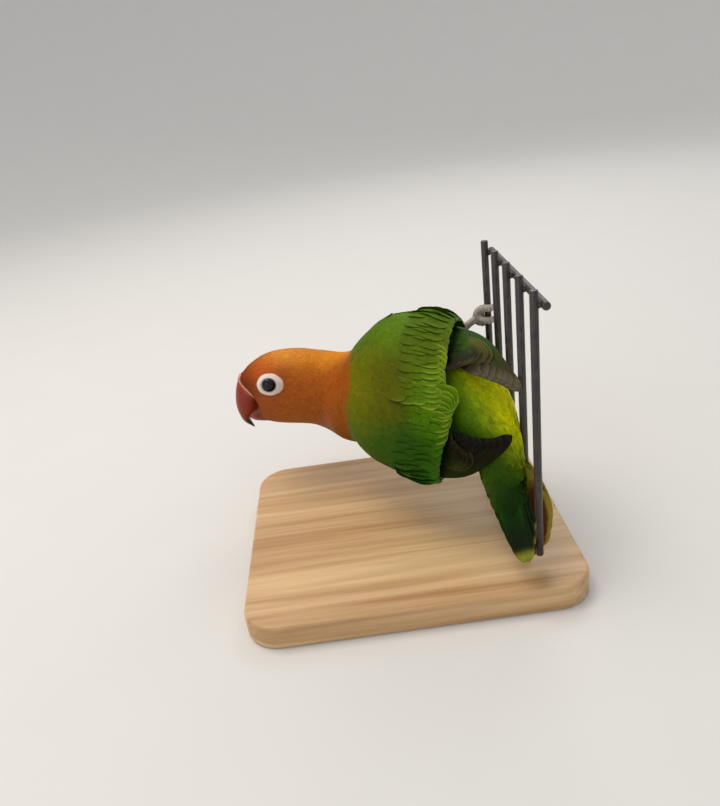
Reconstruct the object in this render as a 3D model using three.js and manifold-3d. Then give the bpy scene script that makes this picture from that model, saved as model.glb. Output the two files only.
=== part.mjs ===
// A life-size eye-ringed lovebird, still, as a museum shows it. It clings sideways to a short cut piece
// of upright wires: the back is turned to the front, the head looks left, the tail hangs down.
// Millimetres, +Z up. The origin is the centre of the display base's underside.
import * as THREE from "three";
import { mergeVertices } from "three/addons/utils/BufferGeometryUtils.js";
import Module from "manifold-3d";

const wasm = await Module();
wasm.setup();

const GAP = 0.3; // clearance between pieces that touch
const DEGREE = Math.PI / 180;
const vec = (x, y, z) => new THREE.Vector3(x, y, z);

// Driving dimensions

const BASE = { length: 104, width: 92, height: 8, corner: 11, chamfer: 1 };
const WIRE = { radius: 1.15, pitch: 14.4, x: 37.8, firstY: -34.8, count: 5, foot: 12.4, top: 94, sides: 12 };
const CROSS = { lowZ: 15.2, highZ: 90, overhang: 2.4 };
const ROD = { radius: 2, y: [15.6, -27.6] };

// Each frame has its origin, the way ahead to the bill and the way up to the back.
const TORSO = makeFrame(vec(-11.3, 31.4, 43.6), vec(-0.678, 0.729, -0.095), vec(-0.666, -0.555, 0.499));
const HEAD = makeFrame(vec(-39.3, 40, 47.3), vec(-0.992, 0.03, 0.105), vec(0.1, 0.15, 0.98));
const TAIL = makeFrame(place(TORSO, 67.6, -14, 0.2), vec(-0.03, 0.7, 0.713), vec(-0.611, -0.572, 0.548));

// The trunk's sections from tail root to neck base: distance behind the neck base, sideways and upward
// shift of the middle, half-width, and reach to the back and to the belly.
const TRUNK = [
  [70.5, -19.6, 0.3, 6.6, 3.0, 3.4],
  [67.6, -14, 0.2, 7.7, 4.5, 4.8],
  [63, -6.5, 0, 9.6, 6.6, 6.8],
  [56, -0.5, 0, 13.2, 10, 9],
  [46, 2.6, 0, 17.6, 13.5, 14],
  [35, 3.2, 0, 21, 16.3, 18.5],
  [22, 3.2, 0, 22.4, 17, 20],
  [10, 2.8, 0, 20.4, 16.2, 19.5],
  [0, -0.7, 0.2, 16.9, 15, 16.6],
];

// The neck's and head's sections: crown point and throat point, each as distance ahead of and above the
// head's middle, and half-width.
const SKULL = [
  [[-20.5, 12.3], [-20.5, -18.3], 14.6],
  [[-14.8, 13.1], [-14.8, -16], 13.7],
  [[-9.4, 13.7], [-10.4, -15.4], 13.1],
  [[-3.7, 13.5], [-5, -15.2], 12.7],
  [[1.4, 12.6], [-0.5, -14.8], 12.2],
  [[5.6, 10.8], [2.2, -14.2], 11.2],
  [[9.2, 8.3], [4, -13.2], 9.5],
  [[11.3, 6.1], [4.8, -9.6], 8],
  [[12.7, 4], [5.8, -5.8], 6.2],
  [[13.1, 3], [7.6, -3.6], 4],
];
const RING_SIDES = 26;
const RING_STEP = 0.5;
const SPLIT = { tail: 2.25, neckRear: 7.15, neckFront: 10 }; // station numbers where the body is parted

const EYE = { ahead: 0.9, up: 2.8, radius: 3.1, visible: 2.5, side: 12.2, ringWidth: 2.1, flatness: 0.78 };

const BARREL = 3.2; // the middle of the trunk lies this far to the bird's right

// Each wing: half-reach of its outside from the trunk's middle, at distances behind the neck base, the
// inner and outer edges of the folded quills, and where the coverts end from the back to the side.
const WINGS = {
  right: {
    sign: 1,
    reach: [
      [6, 15], [9, 20], [12.5, 24], [17, 26.6], [25, 28], [34, 27.9], [43.7, 25], [50, 22.6],
      [58, 19],
    ],
    innerEdge: [
      [30, 8, 15.8], [41, 9.4, 15.2], [49.5, 10.3, 13.9], [57.6, 9, 12.9], [65, 7.6, 11.6],
      [75.5, 7.7, 11.1],
    ],
    outerEdge: [
      [30, 28, -2], [38, 28.5, -0.5], [48, 26, 2.2], [58, 21.4, 5.6], [67, 14.4, 8.6], [76, 8, 11],
    ],
    covertEnd: [[3, 53], [45, 49], [75, 44.5], [99, 41]],
  },
  left: {
    sign: -1,
    reach: [
      [4, 15.5], [8, 19], [13, 22.4], [18, 24.8], [24, 26.6], [31, 27.4], [40, 27.5], [46, 26.6],
      [52, 24.9], [58, 22],
    ],
    innerEdge: [
      [30, -1, 15.9], [41, -1, 15.2], [49.5, -2.4, 14.2], [57.6, -3.6, 13.4], [66, -3.6, 12],
      [75.5, -4, 10.8],
    ],
    outerEdge: [
      [30, -23.6, -2], [40, -24.4, -0.5], [50, -22.8, 2.4], [60, -19, 5.4], [69, -11.8, 8],
      [76, -4.8, 10.4],
    ],
    covertEnd: [[3, 57], [45, 54], [75, 49], [99, 44]],
  },
};
const CROWN = [[-2, 15], [10, 17.4], [20, 18.2], [30, 18.3], [40, 17.3], [50, 15.2], [58, 13]];
const KEEL = 13; // reach of the wing's outside below the trunk's middle
const COVERT = { from: 3, to: 99, front: 8, thickness: 7, count: 7, halfWidth: 4.2, length: 10 };
const QUILL = { thickness: 0.6, step: 0.42, primaries: 6, inner: 4, root: 41 };
const TAIL_PAIRS = [29, 25.6, 21.4, 17, 13, 9.4]; // length past the tail root, middle pair first

// The three outer feathers of the tail's right side bend out between two wires and end behind them.
const THROUGH = {
  root: vec(32.3, -19.4, 41.8),
  bends: [vec(40.2, -28, 27.5), vec(40.6, -28, 29.5), vec(40.8, -28, 31.5)],
  tips: [vec(39.7, -32, 13.1), vec(40.3, -32.4, 17), vec(40.6, -32.8, 21)],
  facing: vec(-0.15, -0.9, 0.3),
};

// Frames, curves and solids

function makeFrame(origin, ahead, up) {
  const forward = ahead.clone().normalize();
  const right = forward.clone().cross(up).normalize();
  return { origin, ahead: forward, right, up: right.clone().cross(forward) };
}

// A point given as distance behind the frame's origin, to the bird's right and upward.
function place(frame, back, side, up) {
  return frame.origin
    .clone()
    .addScaledVector(frame.ahead, -back)
    .addScaledVector(frame.right, side)
    .addScaledVector(frame.up, up);
}

// Smooth value at x from a list of [x, value, ...] rows.
function graph(rows, x, column = 1) {
  let k = 0;
  while (k < rows.length - 2 && x > rows[k + 1][0]) k += 1;
  const at = (index) => rows[Math.min(Math.max(index, 0), rows.length - 1)];
  const [before, start, end, after] = [at(k - 1), at(k), at(k + 1), at(k + 2)];
  const span = end[0] - start[0];
  const t = THREE.MathUtils.clamp((x - start[0]) / span, 0, 1);
  const slope = (a, b) => (b[0] === a[0] ? 0 : ((b[column] - a[column]) / (b[0] - a[0])) * span);
  const [m0, m1] = [slope(before, end), slope(start, after)];
  const [t2, t3] = [t * t, t * t * t];
  return (
    (2 * t3 - 3 * t2 + 1) * start[column] +
    (t3 - 2 * t2 + t) * m0 +
    (3 * t2 - 2 * t3) * end[column] +
    (t3 - t2) * m1
  );
}

function toSolid(geometry) {
  const bare = geometry.clone();
  for (const name of Object.keys(bare.attributes)) {
    if (name !== "position") bare.deleteAttribute(name);
  }
  const merged = mergeVertices(bare, 1e-4);
  const mesh = new wasm.Mesh({
    numProp: 3,
    vertProperties: new Float32Array(merged.attributes.position.array),
    triVerts: new Uint32Array(merged.index.array),
  });
  return new wasm.Manifold(mesh);
}

function fromFaces(points, faces) {
  let volume = 0;
  for (const [a, b, c] of faces) volume += points[a].dot(points[b].clone().cross(points[c]));
  const turned = volume < 0 ? faces.map(([a, b, c]) => [a, c, b]) : faces;
  const geometry = new THREE.BufferGeometry();
  geometry.setAttribute("position", new THREE.Float32BufferAttribute(points.flatMap((p) => p.toArray()), 3));
  geometry.setIndex(turned.flat());
  return toSolid(geometry);
}

// A closed body through rings of points, each end closed by a fan.
function loft(rings) {
  const sides = rings[0].length;
  const points = rings.flat();
  const faces = [];
  for (let r = 0; r < rings.length - 1; r += 1) {
    for (let k = 0; k < sides; k += 1) {
      const next = (k + 1) % sides;
      const [a, b] = [r * sides + k, r * sides + next];
      faces.push([a, b, b + sides], [a, b + sides, a + sides]);
    }
  }
  for (const [ring, start] of [[rings[0], 0], [rings.at(-1), (rings.length - 1) * sides]]) {
    const middle = ring.reduce((sum, p) => sum.add(p), vec(0, 0, 0)).divideScalar(sides);
    const pole = points.push(middle) - 1;
    for (let k = 0; k < sides; k += 1) {
      const [a, b] = [start + k, start + ((k + 1) % sides)];
      faces.push(start === 0 ? [b, a, pole] : [a, b, pole]);
    }
  }
  return fromFaces(points, faces);
}

// A round limb along points, each with its radius.
function limb(points, radii, sides = 8) {
  const curve = new THREE.CatmullRomCurve3(points);
  const steps = radii.length - 1;
  const frames = curve.computeFrenetFrames(steps, false);
  const rings = radii.map((radius, k) => {
    const middle = curve.getPointAt(k / steps);
    return Array.from({ length: sides }, (_, j) => {
      const angle = (j / sides) * 2 * Math.PI;
      return middle
        .clone()
        .addScaledVector(frames.normals[k], Math.cos(angle) * radius)
        .addScaledVector(frames.binormals[k], Math.sin(angle) * radius);
    });
  });
  return loft(rings);
}

const fuse = (solids) => wasm.Manifold.union(solids);

function largest(solid) {
  return solid.decompose().sort((a, b) => b.volume() - a.volume())[0];
}

// Share of a feather's full width at places along it, from quill to tip.
const VANE_PROFILE = [[0, 0.5], [0.3, 0.88], [0.62, 1], [0.85, 0.8], [0.96, 0.42], [1, 0.12]];

// A feather as a thin bent blade. Both faces are split into triangles alike.
function vane(pointAt, normalAt, halfWidth, thickness, tilt = 0) {
  const points = [];
  const faces = [];
  VANE_PROFILE.forEach(([s, share], k) => {
    const middle = pointAt(s);
    const ahead = pointAt(Math.min(s + 0.02, 1)).sub(pointAt(Math.max(s - 0.02, 0)));
    const across = ahead.cross(normalAt(s)).normalize();
    const normal = normalAt(s).clone().addScaledVector(across, tilt).normalize();
    const thick = (thickness * (1 - 0.35 * s)) / 2;
    const side = across.clone().addScaledVector(normal, -across.dot(normal)).normalize();
    for (const [x, z] of [[-1, 1], [1, 1], [1, -1], [-1, -1]]) {
      points.push(
        middle.clone().addScaledVector(side, x * share * halfWidth).addScaledVector(normal, z * thick),
      );
    }
    if (k === 0) return;
    const [a, b] = [4 * (k - 1), 4 * k];
    faces.push([a, a + 1, b + 1], [a, b + 1, b]);
    faces.push([a + 1, a + 2, b + 2], [a + 1, b + 2, b + 1]);
    faces.push([a + 3, b + 2, a + 2], [a + 3, b + 3, b + 2]);
    faces.push([a + 3, a, b], [a + 3, b, b + 3]);
  });
  const end = points.length - 4;
  faces.push([0, 2, 1], [0, 3, 2], [end, end + 1, end + 2], [end, end + 2, end + 3]);
  return fromFaces(points, faces);
}

// Body: one smooth skin from tail root to forehead, parted into torso, neck and head

const STATIONS = [
  ...TRUNK.map(([back, side, rise, half, dorsal, ventral]) => ({
    at: place(TORSO, back, side, rise),
    up: TORSO.up.clone(),
    radii: [half, dorsal, ventral],
  })),
  ...SKULL.map(([crown, throat, half]) => {
    const [top, bottom] = [crown, throat].map(([ahead, rise]) => place(HEAD, -ahead, 0, rise));
    const height = top.distanceTo(bottom) / 2;
    const up = top.clone().sub(bottom).normalize();
    return { at: top.add(bottom).multiplyScalar(0.5), up, radii: [half, height, height] };
  }),
];
STATIONS[0].up = TAIL.up.clone();

const lastStation = STATIONS.length - 1;
const spine = new THREE.CatmullRomCurve3(STATIONS.map((station) => station.at));
STATIONS.forEach((station, k) => {
  station.ahead = k < TRUNK.length ? spine.getTangent(k / lastStation) : HEAD.ahead;
});

// The head is level while the trunk leans, so the neck turns little by little.
const NECK_TURN = [0.12, 0.36, 0.66, 0.9];
NECK_TURN.forEach((share, k) => {
  const station = STATIONS[TRUNK.length - 2 + k];
  station.up = TORSO.up.clone().lerp(HEAD.up, share);
  station.ahead = TORSO.ahead.clone().lerp(HEAD.ahead, share);
});

function blend(values, t) {
  return graph(values.map((value, k) => [k, value]), t);
}

// The ring of skin at station number t, grown by extra and moved ahead by shift.
function skinRing(t, extra = 0, shift = 0) {
  const middle = spine.getPoint(t / lastStation);
  const k = Math.min(Math.floor(t), lastStation - 1);
  const between = (part) => STATIONS[k][part].clone().lerp(STATIONS[k + 1][part], t - k).normalize();
  const [up, forward] = [between("up"), between("ahead")];
  const right = forward.clone().cross(up).normalize();
  const slant = THREE.MathUtils.clamp(t - TRUNK.length - 1, 0, 1);
  const top = right.clone().cross(forward).lerp(up, slant).normalize();
  const ahead = top.clone().cross(right);
  const turn = Math.atan2(TORSO.up.dot(right), TORSO.up.dot(top));
  const [half, dorsal, ventral] = [0, 1, 2].map(
    (index) => blend(STATIONS.map((station) => station.radii[index]), t) + extra,
  );
  return Array.from({ length: RING_SIDES }, (_, j) => {
    const angle = (j / RING_SIDES) * 2 * Math.PI + turn;
    const rise = Math.cos(angle) * (Math.cos(angle) > 0 ? dorsal : ventral);
    return middle
      .clone()
      .addScaledVector(ahead, shift)
      .addScaledVector(right, Math.sin(angle) * half)
      .addScaledVector(top, rise);
  });
}

// The skin from one station number to another, with rings at every part station between them.
function skin(from, to, { extra = 0, rearShift = 0, frontShift = 0 } = {}) {
  const numbers = [from];
  for (let t = (Math.floor(from / RING_STEP) + 1) * RING_STEP; t < to - 0.2 * RING_STEP; t += RING_STEP) {
    if (t - from > 0.2 * RING_STEP) numbers.push(t);
  }
  numbers.push(to);
  const last = numbers.length - 1;
  return loft(numbers.map((t, k) => skinRing(t, extra, k === 0 ? rearShift : k === last ? frontShift : 0)));
}

const fullSkin = skin(SPLIT.tail, lastStation, { extra: GAP });
const torsoGrown = skin(SPLIT.tail, 4, { extra: GAP, rearShift: -GAP / 2 });

// Wires, base and rods

function cylinder(radius, length, sides = WIRE.sides) {
  return new THREE.CylinderGeometry(radius, radius, length, sides);
}

const wireY = Array.from({ length: WIRE.count }, (_, k) => WIRE.firstY + k * WIRE.pitch);
const wireHeight = WIRE.top - WIRE.foot;

function uprightAt(y, radius = WIRE.radius) {
  return cylinder(radius, wireHeight).rotateX(Math.PI / 2).translate(WIRE.x, y, WIRE.foot + wireHeight / 2);
}

const crossLength = (WIRE.count - 1) * WIRE.pitch + 2 * CROSS.overhang;
const crossMiddle = WIRE.firstY + ((WIRE.count - 1) * WIRE.pitch) / 2;
const crossOffset = 2 * WIRE.radius + GAP;

function crossWire(x, z) {
  return cylinder(WIRE.radius, crossLength).translate(x, crossMiddle, z);
}

const clearRadius = (WIRE.radius + GAP) / Math.cos(Math.PI / WIRE.sides);
const wiresGrown = fuse(wireY.map((y) => toSolid(uprightAt(y, clearRadius))));

function basePlate() {
  const [x, y, r] = [BASE.length / 2, BASE.width / 2, BASE.corner].map((size) => size - BASE.chamfer);
  const outline = new THREE.Shape();
  outline.moveTo(-x + r, -y);
  outline.lineTo(x - r, -y);
  outline.absarc(x - r, -y + r, r, -Math.PI / 2, 0);
  outline.absarc(x - r, y - r, r, 0, Math.PI / 2);
  outline.absarc(-x + r, y - r, r, Math.PI / 2, Math.PI);
  outline.absarc(-x + r, -y + r, r, Math.PI, 1.5 * Math.PI);
  return new THREE.ExtrudeGeometry(outline, {
    depth: BASE.height - 2 * BASE.chamfer,
    bevelThickness: BASE.chamfer,
    bevelSize: BASE.chamfer,
    bevelSegments: 1,
    curveSegments: 5,
  }).translate(0, 0, BASE.chamfer);
}

function rodAt(y) {
  const top = CROSS.lowZ - WIRE.radius - GAP;
  const height = top - BASE.height - GAP;
  return cylinder(ROD.radius, height, 16)
    .rotateX(Math.PI / 2)
    .translate(WIRE.x - crossOffset, y, BASE.height + GAP + height / 2);
}

// Wings

function trunkRadius(back, angle) {
  const rows = TRUNK.slice().reverse();
  const [half, dorsal, ventral] = [3, 4, 5].map((column) => graph(rows, back, column));
  const rise = Math.cos(angle) > 0 ? dorsal : ventral;
  return 1 / Math.hypot(Math.sin(angle) / half, Math.cos(angle) / rise);
}

function coverRadius(wing, back, angle) {
  const rise = Math.cos(angle) > 0 ? graph(CROWN, back) : KEEL;
  return 1 / Math.hypot(Math.sin(angle) / graph(wing.reach, back), Math.cos(angle) / rise);
}

function around(wing, back, angle, radius) {
  const side = BARREL + wing.sign * Math.sin(angle) * radius;
  return place(TORSO, back, side, Math.cos(angle) * radius);
}

// The soft covert feathers of shoulder and wing, as one shell that lies on the trunk.
function covertShell(wing) {
  const columns = 9;
  const rows = 11;
  const rings = [];
  for (let r = 0; r <= rows; r += 1) {
    const v = r / rows;
    const outside = [];
    const inside = [];
    for (let c = 0; c <= columns; c += 1) {
      const u = c / columns;
      const degrees = COVERT.from + u * (COVERT.to - COVERT.from);
      const angle = degrees * DEGREE;
      const back = COVERT.front + v * (graph(wing.covertEnd, degrees) - COVERT.front);
      const rounded = Math.sqrt(Math.max(0, 1 - Math.abs(2 * u - 1) ** 5));
      const swell = Math.min(1, Math.sin(Math.min(1, v / 0.22) * (Math.PI / 2))) * (v > 0.99 ? 0.4 : 1);
      const trunk = trunkRadius(back, angle);
      const cover = coverRadius(wing, back, angle);
      const floor = Math.max(trunk - 1.2, cover - COVERT.thickness);
      outside.push(around(wing, back, angle, floor + 0.4 + (cover - floor - 0.4) * rounded * swell));
      inside.unshift(around(wing, back, angle, floor));
    }
    rings.push([...outside, ...inside]);
  }
  return loft(rings);
}

function coverNormal(wing, back, angle) {
  const [step, turn] = [1, 0.05];
  const at = (b, a) => around(wing, b, a, coverRadius(wing, b, a));
  const along = at(back + step, angle).sub(at(back - step, angle));
  const across = at(back, angle + turn).sub(at(back, angle - turn));
  return across.cross(along).multiplyScalar(wing.sign).normalize();
}

function covertTier(wing) {
  const vanes = [];
  for (let k = 0; k < COVERT.count; k += 1) {
    const degrees = COVERT.from + 15 + (k / (COVERT.count - 1)) * (COVERT.to - COVERT.from - 27);
    const angle = degrees * DEGREE;
    const end = graph(wing.covertEnd, degrees) + 1.6;
    const pointAt = (s) => {
      const back = end - COVERT.length * (1 - s);
      return around(wing, back, angle, coverRadius(wing, back, angle) - 0.2 * s);
    };
    const normalAt = () => coverNormal(wing, end, angle);
    vanes.push(vane(pointAt, normalAt, COVERT.halfWidth, 0.8, 0.1 * wing.sign));
  }
  return vanes;
}

// A point on the folded quills: q runs from the inner to the outer edge, lift is its height above them.
function foldPoint(wing, back, q, lift) {
  const edge = (rows) => vec(back, graph(rows, back, 1), graph(rows, back, 2));
  const [inner, outer] = [edge(wing.innerEdge), edge(wing.outerEdge)];
  const chord = outer.clone().sub(inner);
  const width = chord.length();
  const normal = vec(0, -chord.z * wing.sign, chord.y * wing.sign).normalize();
  const bulge = 0.34 * width * q * (1 - q);
  const point = inner.addScaledVector(chord, q).addScaledVector(normal, bulge + lift);
  return place(TORSO, point.x, point.y, point.z);
}

function quills(wing) {
  const vanes = [];
  const count = QUILL.primaries + QUILL.inner;
  for (let k = 0; k < count; k += 1) {
    const u = k / (count - 1);
    const primary = k < QUILL.primaries;
    const tip = primary ? 76 - Math.abs(k - 1) * 2.6 : 61.5 - (k - QUILL.primaries) * 2.3;
    const root = QUILL.root - 3 * u;
    const [qRoot, qTip] = [0.88 - 0.68 * u, primary ? 0.74 - 0.95 * u : 0.4 - 0.16 * u];
    const lift = (u - 0.5) * QUILL.step * (count - 1);
    const mix = THREE.MathUtils.lerp;
    const foldAt = (s, height) => foldPoint(wing, mix(root, tip, s), mix(qRoot, qTip, s), height);
    const pointAt = (s) => foldAt(s, lift * (1 - 0.35 * s));
    const normalAt = (s) => foldAt(s, 1).sub(foldAt(s, 0)).normalize();
    const halfWidth = primary ? 3.3 + 0.15 * k : 4.6;
    vanes.push(vane(pointAt, normalAt, halfWidth, QUILL.thickness, 0.05 * wing.sign));
  }
  return vanes;
}

function wingSolid(wing) {
  const whole = fuse([covertShell(wing), ...covertTier(wing), ...quills(wing)]);
  return largest(whole.subtract(fullSkin).subtract(wiresGrown));
}

// Tail

function tailPoint(along, side, rise) {
  return place(TAIL, along, side, rise);
}

function tailRoot() {
  const rings = [1.75, 1.25, 0.75, 0.25].map((t) => skinRing(t));
  rings.unshift(skinRing(SPLIT.tail, 0, -GAP / 2));
  const turn = Math.atan2(TORSO.up.dot(TAIL.right), TORSO.up.dot(TAIL.up));
  const flat = (along, half, thick) =>
    Array.from({ length: RING_SIDES }, (_, j) => {
      const angle = (j / RING_SIDES) * 2 * Math.PI + turn;
      return tailPoint(along, Math.sin(angle) * half, Math.cos(angle) * thick);
    });
  return loft([...rings, flat(11, 5, 1.9), flat(15, 3.6, 1.1)]);
}

function tailVanes() {
  const vanes = [];
  TAIL_PAIRS.forEach((length, pair) => {
    for (const side of [-1, 1]) {
      const through = side > 0 && pair > 2;
      const sink = 0.42 * (pair * 2 + (side > 0 ? 1 : 0));
      const spread = side * (0.5 + (side > 0 ? 1.1 : 1.5) * pair);
      const start = through ? THROUGH.root : tailPoint(1, side * (0.4 + 0.5 * pair), 1.6 - sink);
      const tip = through ? THROUGH.tips[pair - 3] : tailPoint(length, spread + 1, 0.5 - sink);
      const halfway = start.clone().lerp(tip, 0.5).addScaledVector(TAIL.up, 0.8);
      const bend = through ? THROUGH.bends[pair - 3] : halfway;
      const curve = new THREE.QuadraticBezierCurve3(start, bend, tip);
      const flatNormal = TAIL.up.clone().addScaledVector(TAIL.right, side * 0.03 * pair);
      const normalAt = (s) => (through ? flatNormal.clone().lerp(THROUGH.facing, s).normalize() : flatNormal);
      vanes.push(vane((s) => curve.getPoint(s), normalAt, 3.9 - 0.12 * pair, 0.7));
    }
  });
  return vanes;
}

function tailCoverts() {
  const vanes = [];
  for (let k = 0; k < 5; k += 1) {
    const side = (k - 2) * 2.5;
    const start = tailPoint(-4, side * 0.8, 3.4 - 0.12 * side * side * 0.4);
    const tip = tailPoint(13 - Math.abs(k - 2) * 2, side * 1.1, 2.2 - 0.1 * side * side * 0.4);
    const pointAt = (s) => start.clone().lerp(tip, s);
    const normal = TAIL.up.clone().addScaledVector(TAIL.right, side * 0.04).normalize();
    vanes.push(vane(pointAt, () => normal, 2.9, 0.8));
  }
  return vanes;
}

function tailSolid() {
  const whole = fuse([tailRoot(), ...tailVanes(), ...tailCoverts()]);
  return largest(whole.subtract(torsoGrown).subtract(wiresGrown));
}

// Head: bill, cere, eyes and the bare rings round them

function headPoint(ahead, side, up) {
  return place(HEAD, -ahead, side, up);
}

// A ring between an inner and an outer point of the bill's profile.
function billRing(outer, inner, half, grow = 0, sides = 14) {
  const [cx, cy] = [(outer[0] + inner[0]) / 2, (outer[1] + inner[1]) / 2];
  const [dx, dy] = [outer[0] - cx, outer[1] - cy];
  const size = Math.hypot(dx, dy);
  const stretch = (size + grow) / size;
  return Array.from({ length: sides }, (_, j) => {
    const angle = (j / sides) * 2 * Math.PI;
    const along = Math.cos(angle) * stretch;
    return headPoint(cx + dx * along, Math.sin(angle) * (half + grow), cy + dy * along);
  });
}

// Culmen point, lower edge point and half-width from the cere to the hooked tip.
const UPPER_BILL = [
  [[11.4, 5], [2.6, -3.4], 4.9],
  [[13.1, 3], [5.2, -5.3], 5.3],
  [[14.2, 0.2], [6.1, -6.4], 5.1],
  [[14.8, -3.8], [6.9, -8], 4.6],
  [[14.7, -7.8], [8, -9.7], 3.8],
  [[13.6, -11.5], [9.3, -11.2], 2.9],
  [[11.9, -14.2], [9.9, -13], 1.8],
  [[8.6, -16.4], [8.5, -15.9], 0.35],
];
const LOWER_BILL = [
  [[-1, -5], [-1, -12.6], 5],
  [[4, -6], [3.4, -13.6], 4.6],
  [[7, -8.4], [6, -13.9], 4],
  [[8.6, -9.8], [7.8, -13], 2.9],
  [[9.4, -11], [9, -12], 1.3],
];

// The cere's rings along the upper bill with their swelling, its nostrils' radius, and the corners of the
// room in front of the face feathers: from the forehead along the cere to the gape, then to the chin.
const CERE = {
  bands: [[0.3, 0.3], [0.95, 0.5], [1.2, 0.5], [1.42, 0.1]],
  nostril: 0.55,
  face: [[13.6, 3.5], [5.9, -5.6], [5.8, -9.5], [4.6, -14.6], [4.6, -18], [22, -18], [22, 3.5]],
};

function billSolid(profile, grow = 0) {
  return loft(profile.map(([outer, inner, half]) => billRing(outer, inner, half, grow)));
}

// The swollen band of bare skin where the upper bill leaves the feathers, with its nostrils.
function cereSolid() {
  const mix = (a, b, t) => a.map((value, k) => value + (b[k] - value) * t);
  const rings = CERE.bands.map(([t, grow]) => {
    const [first, second] = t < 1 ? [UPPER_BILL[0], UPPER_BILL[1]] : [UPPER_BILL[1], UPPER_BILL[2]];
    const share = t < 1 ? t : t - 1;
    const half = first[2] + (second[2] - first[2]) * share;
    return billRing(mix(first[0], second[0], share), mix(first[1], second[1], share), half, grow);
  });
  const nostrils = [1, -1].map((side) => ball(headPoint(13.1, side * 2.7, 2.6), CERE.nostril, 8, 6));
  return loft(rings).subtract(fuse(nostrils));
}

// The room in front of the face feathers, as a prism across the head.
function faceRoom() {
  const corner = (side) => CERE.face.map(([ahead, rise]) => headPoint(ahead, side * 20, rise));
  const points = [...corner(-1), ...corner(1)];
  const count = CERE.face.length;
  const faces = [];
  for (let k = 1; k < count - 1; k += 1) faces.push([0, k, k + 1], [count, count + k + 1, count + k]);
  for (let k = 0; k < count; k += 1) {
    const next = (k + 1) % count;
    faces.push([k, count + k, count + next], [k, count + next, next]);
  }
  return fromFaces(points, faces);
}

function ball(centre, radius, width = 12, height = 8) {
  return toSolid(new THREE.SphereGeometry(radius, width, height).translate(centre.x, centre.y, centre.z));
}

function eyeCentre(side) {
  const depth = Math.sqrt(EYE.radius ** 2 - EYE.visible ** 2);
  return headPoint(EYE.ahead, side * (EYE.side - depth), EYE.up);
}

// The bare skin round the eye, a low ring with the lids' edge inside.
function eyeRing(side) {
  const outward = HEAD.right.clone().multiplyScalar(side);
  outward.addScaledVector(HEAD.up, 0.1).addScaledVector(HEAD.ahead, 0.12).normalize();
  const along = HEAD.ahead.clone().addScaledVector(outward, -HEAD.ahead.dot(outward)).normalize();
  const rise = along.clone().cross(outward);
  const middle = headPoint(EYE.ahead, side * EYE.side, EYE.up);
  const profile = [[0, -3], [0, 0.25], [0.45, 0.55], [1, 0.45], [EYE.ringWidth, -0.5], [EYE.ringWidth, -3]];
  const sides = 18;
  const points = [];
  const faces = [];
  for (let j = 0; j < sides; j += 1) {
    const angle = (j / sides) * 2 * Math.PI;
    for (const [reach, height] of profile) {
      const radius = EYE.visible + 0.2 + reach;
      points.push(
        middle
          .clone()
          .addScaledVector(along, Math.cos(angle) * radius)
          .addScaledVector(rise, Math.sin(angle) * radius * EYE.flatness)
          .addScaledVector(outward, height),
      );
    }
    for (let k = 0; k < profile.length; k += 1) {
      const next = (k + 1) % profile.length;
      const [a, b] = [j * profile.length + k, j * profile.length + next];
      const [c, d] = [((j + 1) % sides) * profile.length + k, ((j + 1) % sides) * profile.length + next];
      faces.push([a, b, d], [a, d, c]);
    }
  }
  return fromFaces(points, faces);
}

function headSolid() {
  const bare = skin(SPLIT.neckFront, lastStation, { rearShift: GAP / 2 });
  const rings = fuse([bare, eyeRing(1), eyeRing(-1)]);
  const cups = [1, -1].map((side) => ball(eyeCentre(side), EYE.radius + GAP));
  const billRoom = fuse([billSolid(UPPER_BILL, GAP), billSolid(LOWER_BILL, GAP)]);
  const whole = fuse([rings.subtract(faceRoom()), cereSolid()]);
  return largest(whole.subtract(fuse(cups)).subtract(billRoom));
}

// Legs and feet

const FEET = {
  right: { wire: 4, height: 68.7, ankle: vec(26.8, 22, 65.2), hip: [37, 12, -10] },
  left: { wire: 3, height: 31, ankle: vec(26, 7.6, 29), hip: [37, -6, -10] },
};

function toe(foot, side, rise, reach) {
  const y = wireY[foot.wire];
  const radii = [1.7, 1.5, 1.4, 1.3, 1.1, 0.95];
  const ring = WIRE.radius + GAP + 1.4;
  const points = radii.map((_, k) => {
    const angle = (k / (radii.length - 1)) * reach;
    return vec(
      WIRE.x - Math.cos(angle) * ring,
      y + side * Math.sin(angle) * ring,
      foot.height + rise * (0.5 + 0.5 * Math.min(1, angle)),
    );
  });
  const end = points.at(-1);
  const onward = end.clone().sub(points.at(-2)).normalize();
  const outward = vec(end.x - WIRE.x, end.y - y, 0).normalize();
  const claw = [
    end.clone().addScaledVector(onward, -0.4),
    end.clone().addScaledVector(onward, 1.4).addScaledVector(outward, 0.35),
    end.clone().addScaledVector(onward, 2.9).addScaledVector(outward, -0.2),
  ];
  return [limb(points, radii, 6), limb(claw, [0.8, 0.6, 0.15], 5)];
}

function footSolid(foot) {
  const y = wireY[foot.wire];
  const palm = vec(WIRE.x - WIRE.radius - GAP - 1.7, y, foot.height);
  const shank = limb([foot.ankle, foot.ankle.clone().lerp(palm, 0.5), palm], [1.5, 1.25, 1.2, 1.6], 8);
  const padShape = new THREE.SphereGeometry(2.1, 9, 7).scale(0.85, 1, 1.5);
  const pad = toSolid(padShape.translate(palm.x, palm.y, palm.z));
  const toes = [
    ...toe(foot, -1, 3.4, 2.5),
    ...toe(foot, -1, -0.8, 2.35),
    ...toe(foot, 1, 1.6, 2.4),
    ...toe(foot, 1, -3.2, 2.1),
  ];
  return largest(fuse([shank, pad, ...toes]).subtract(wiresGrown));
}

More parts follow.
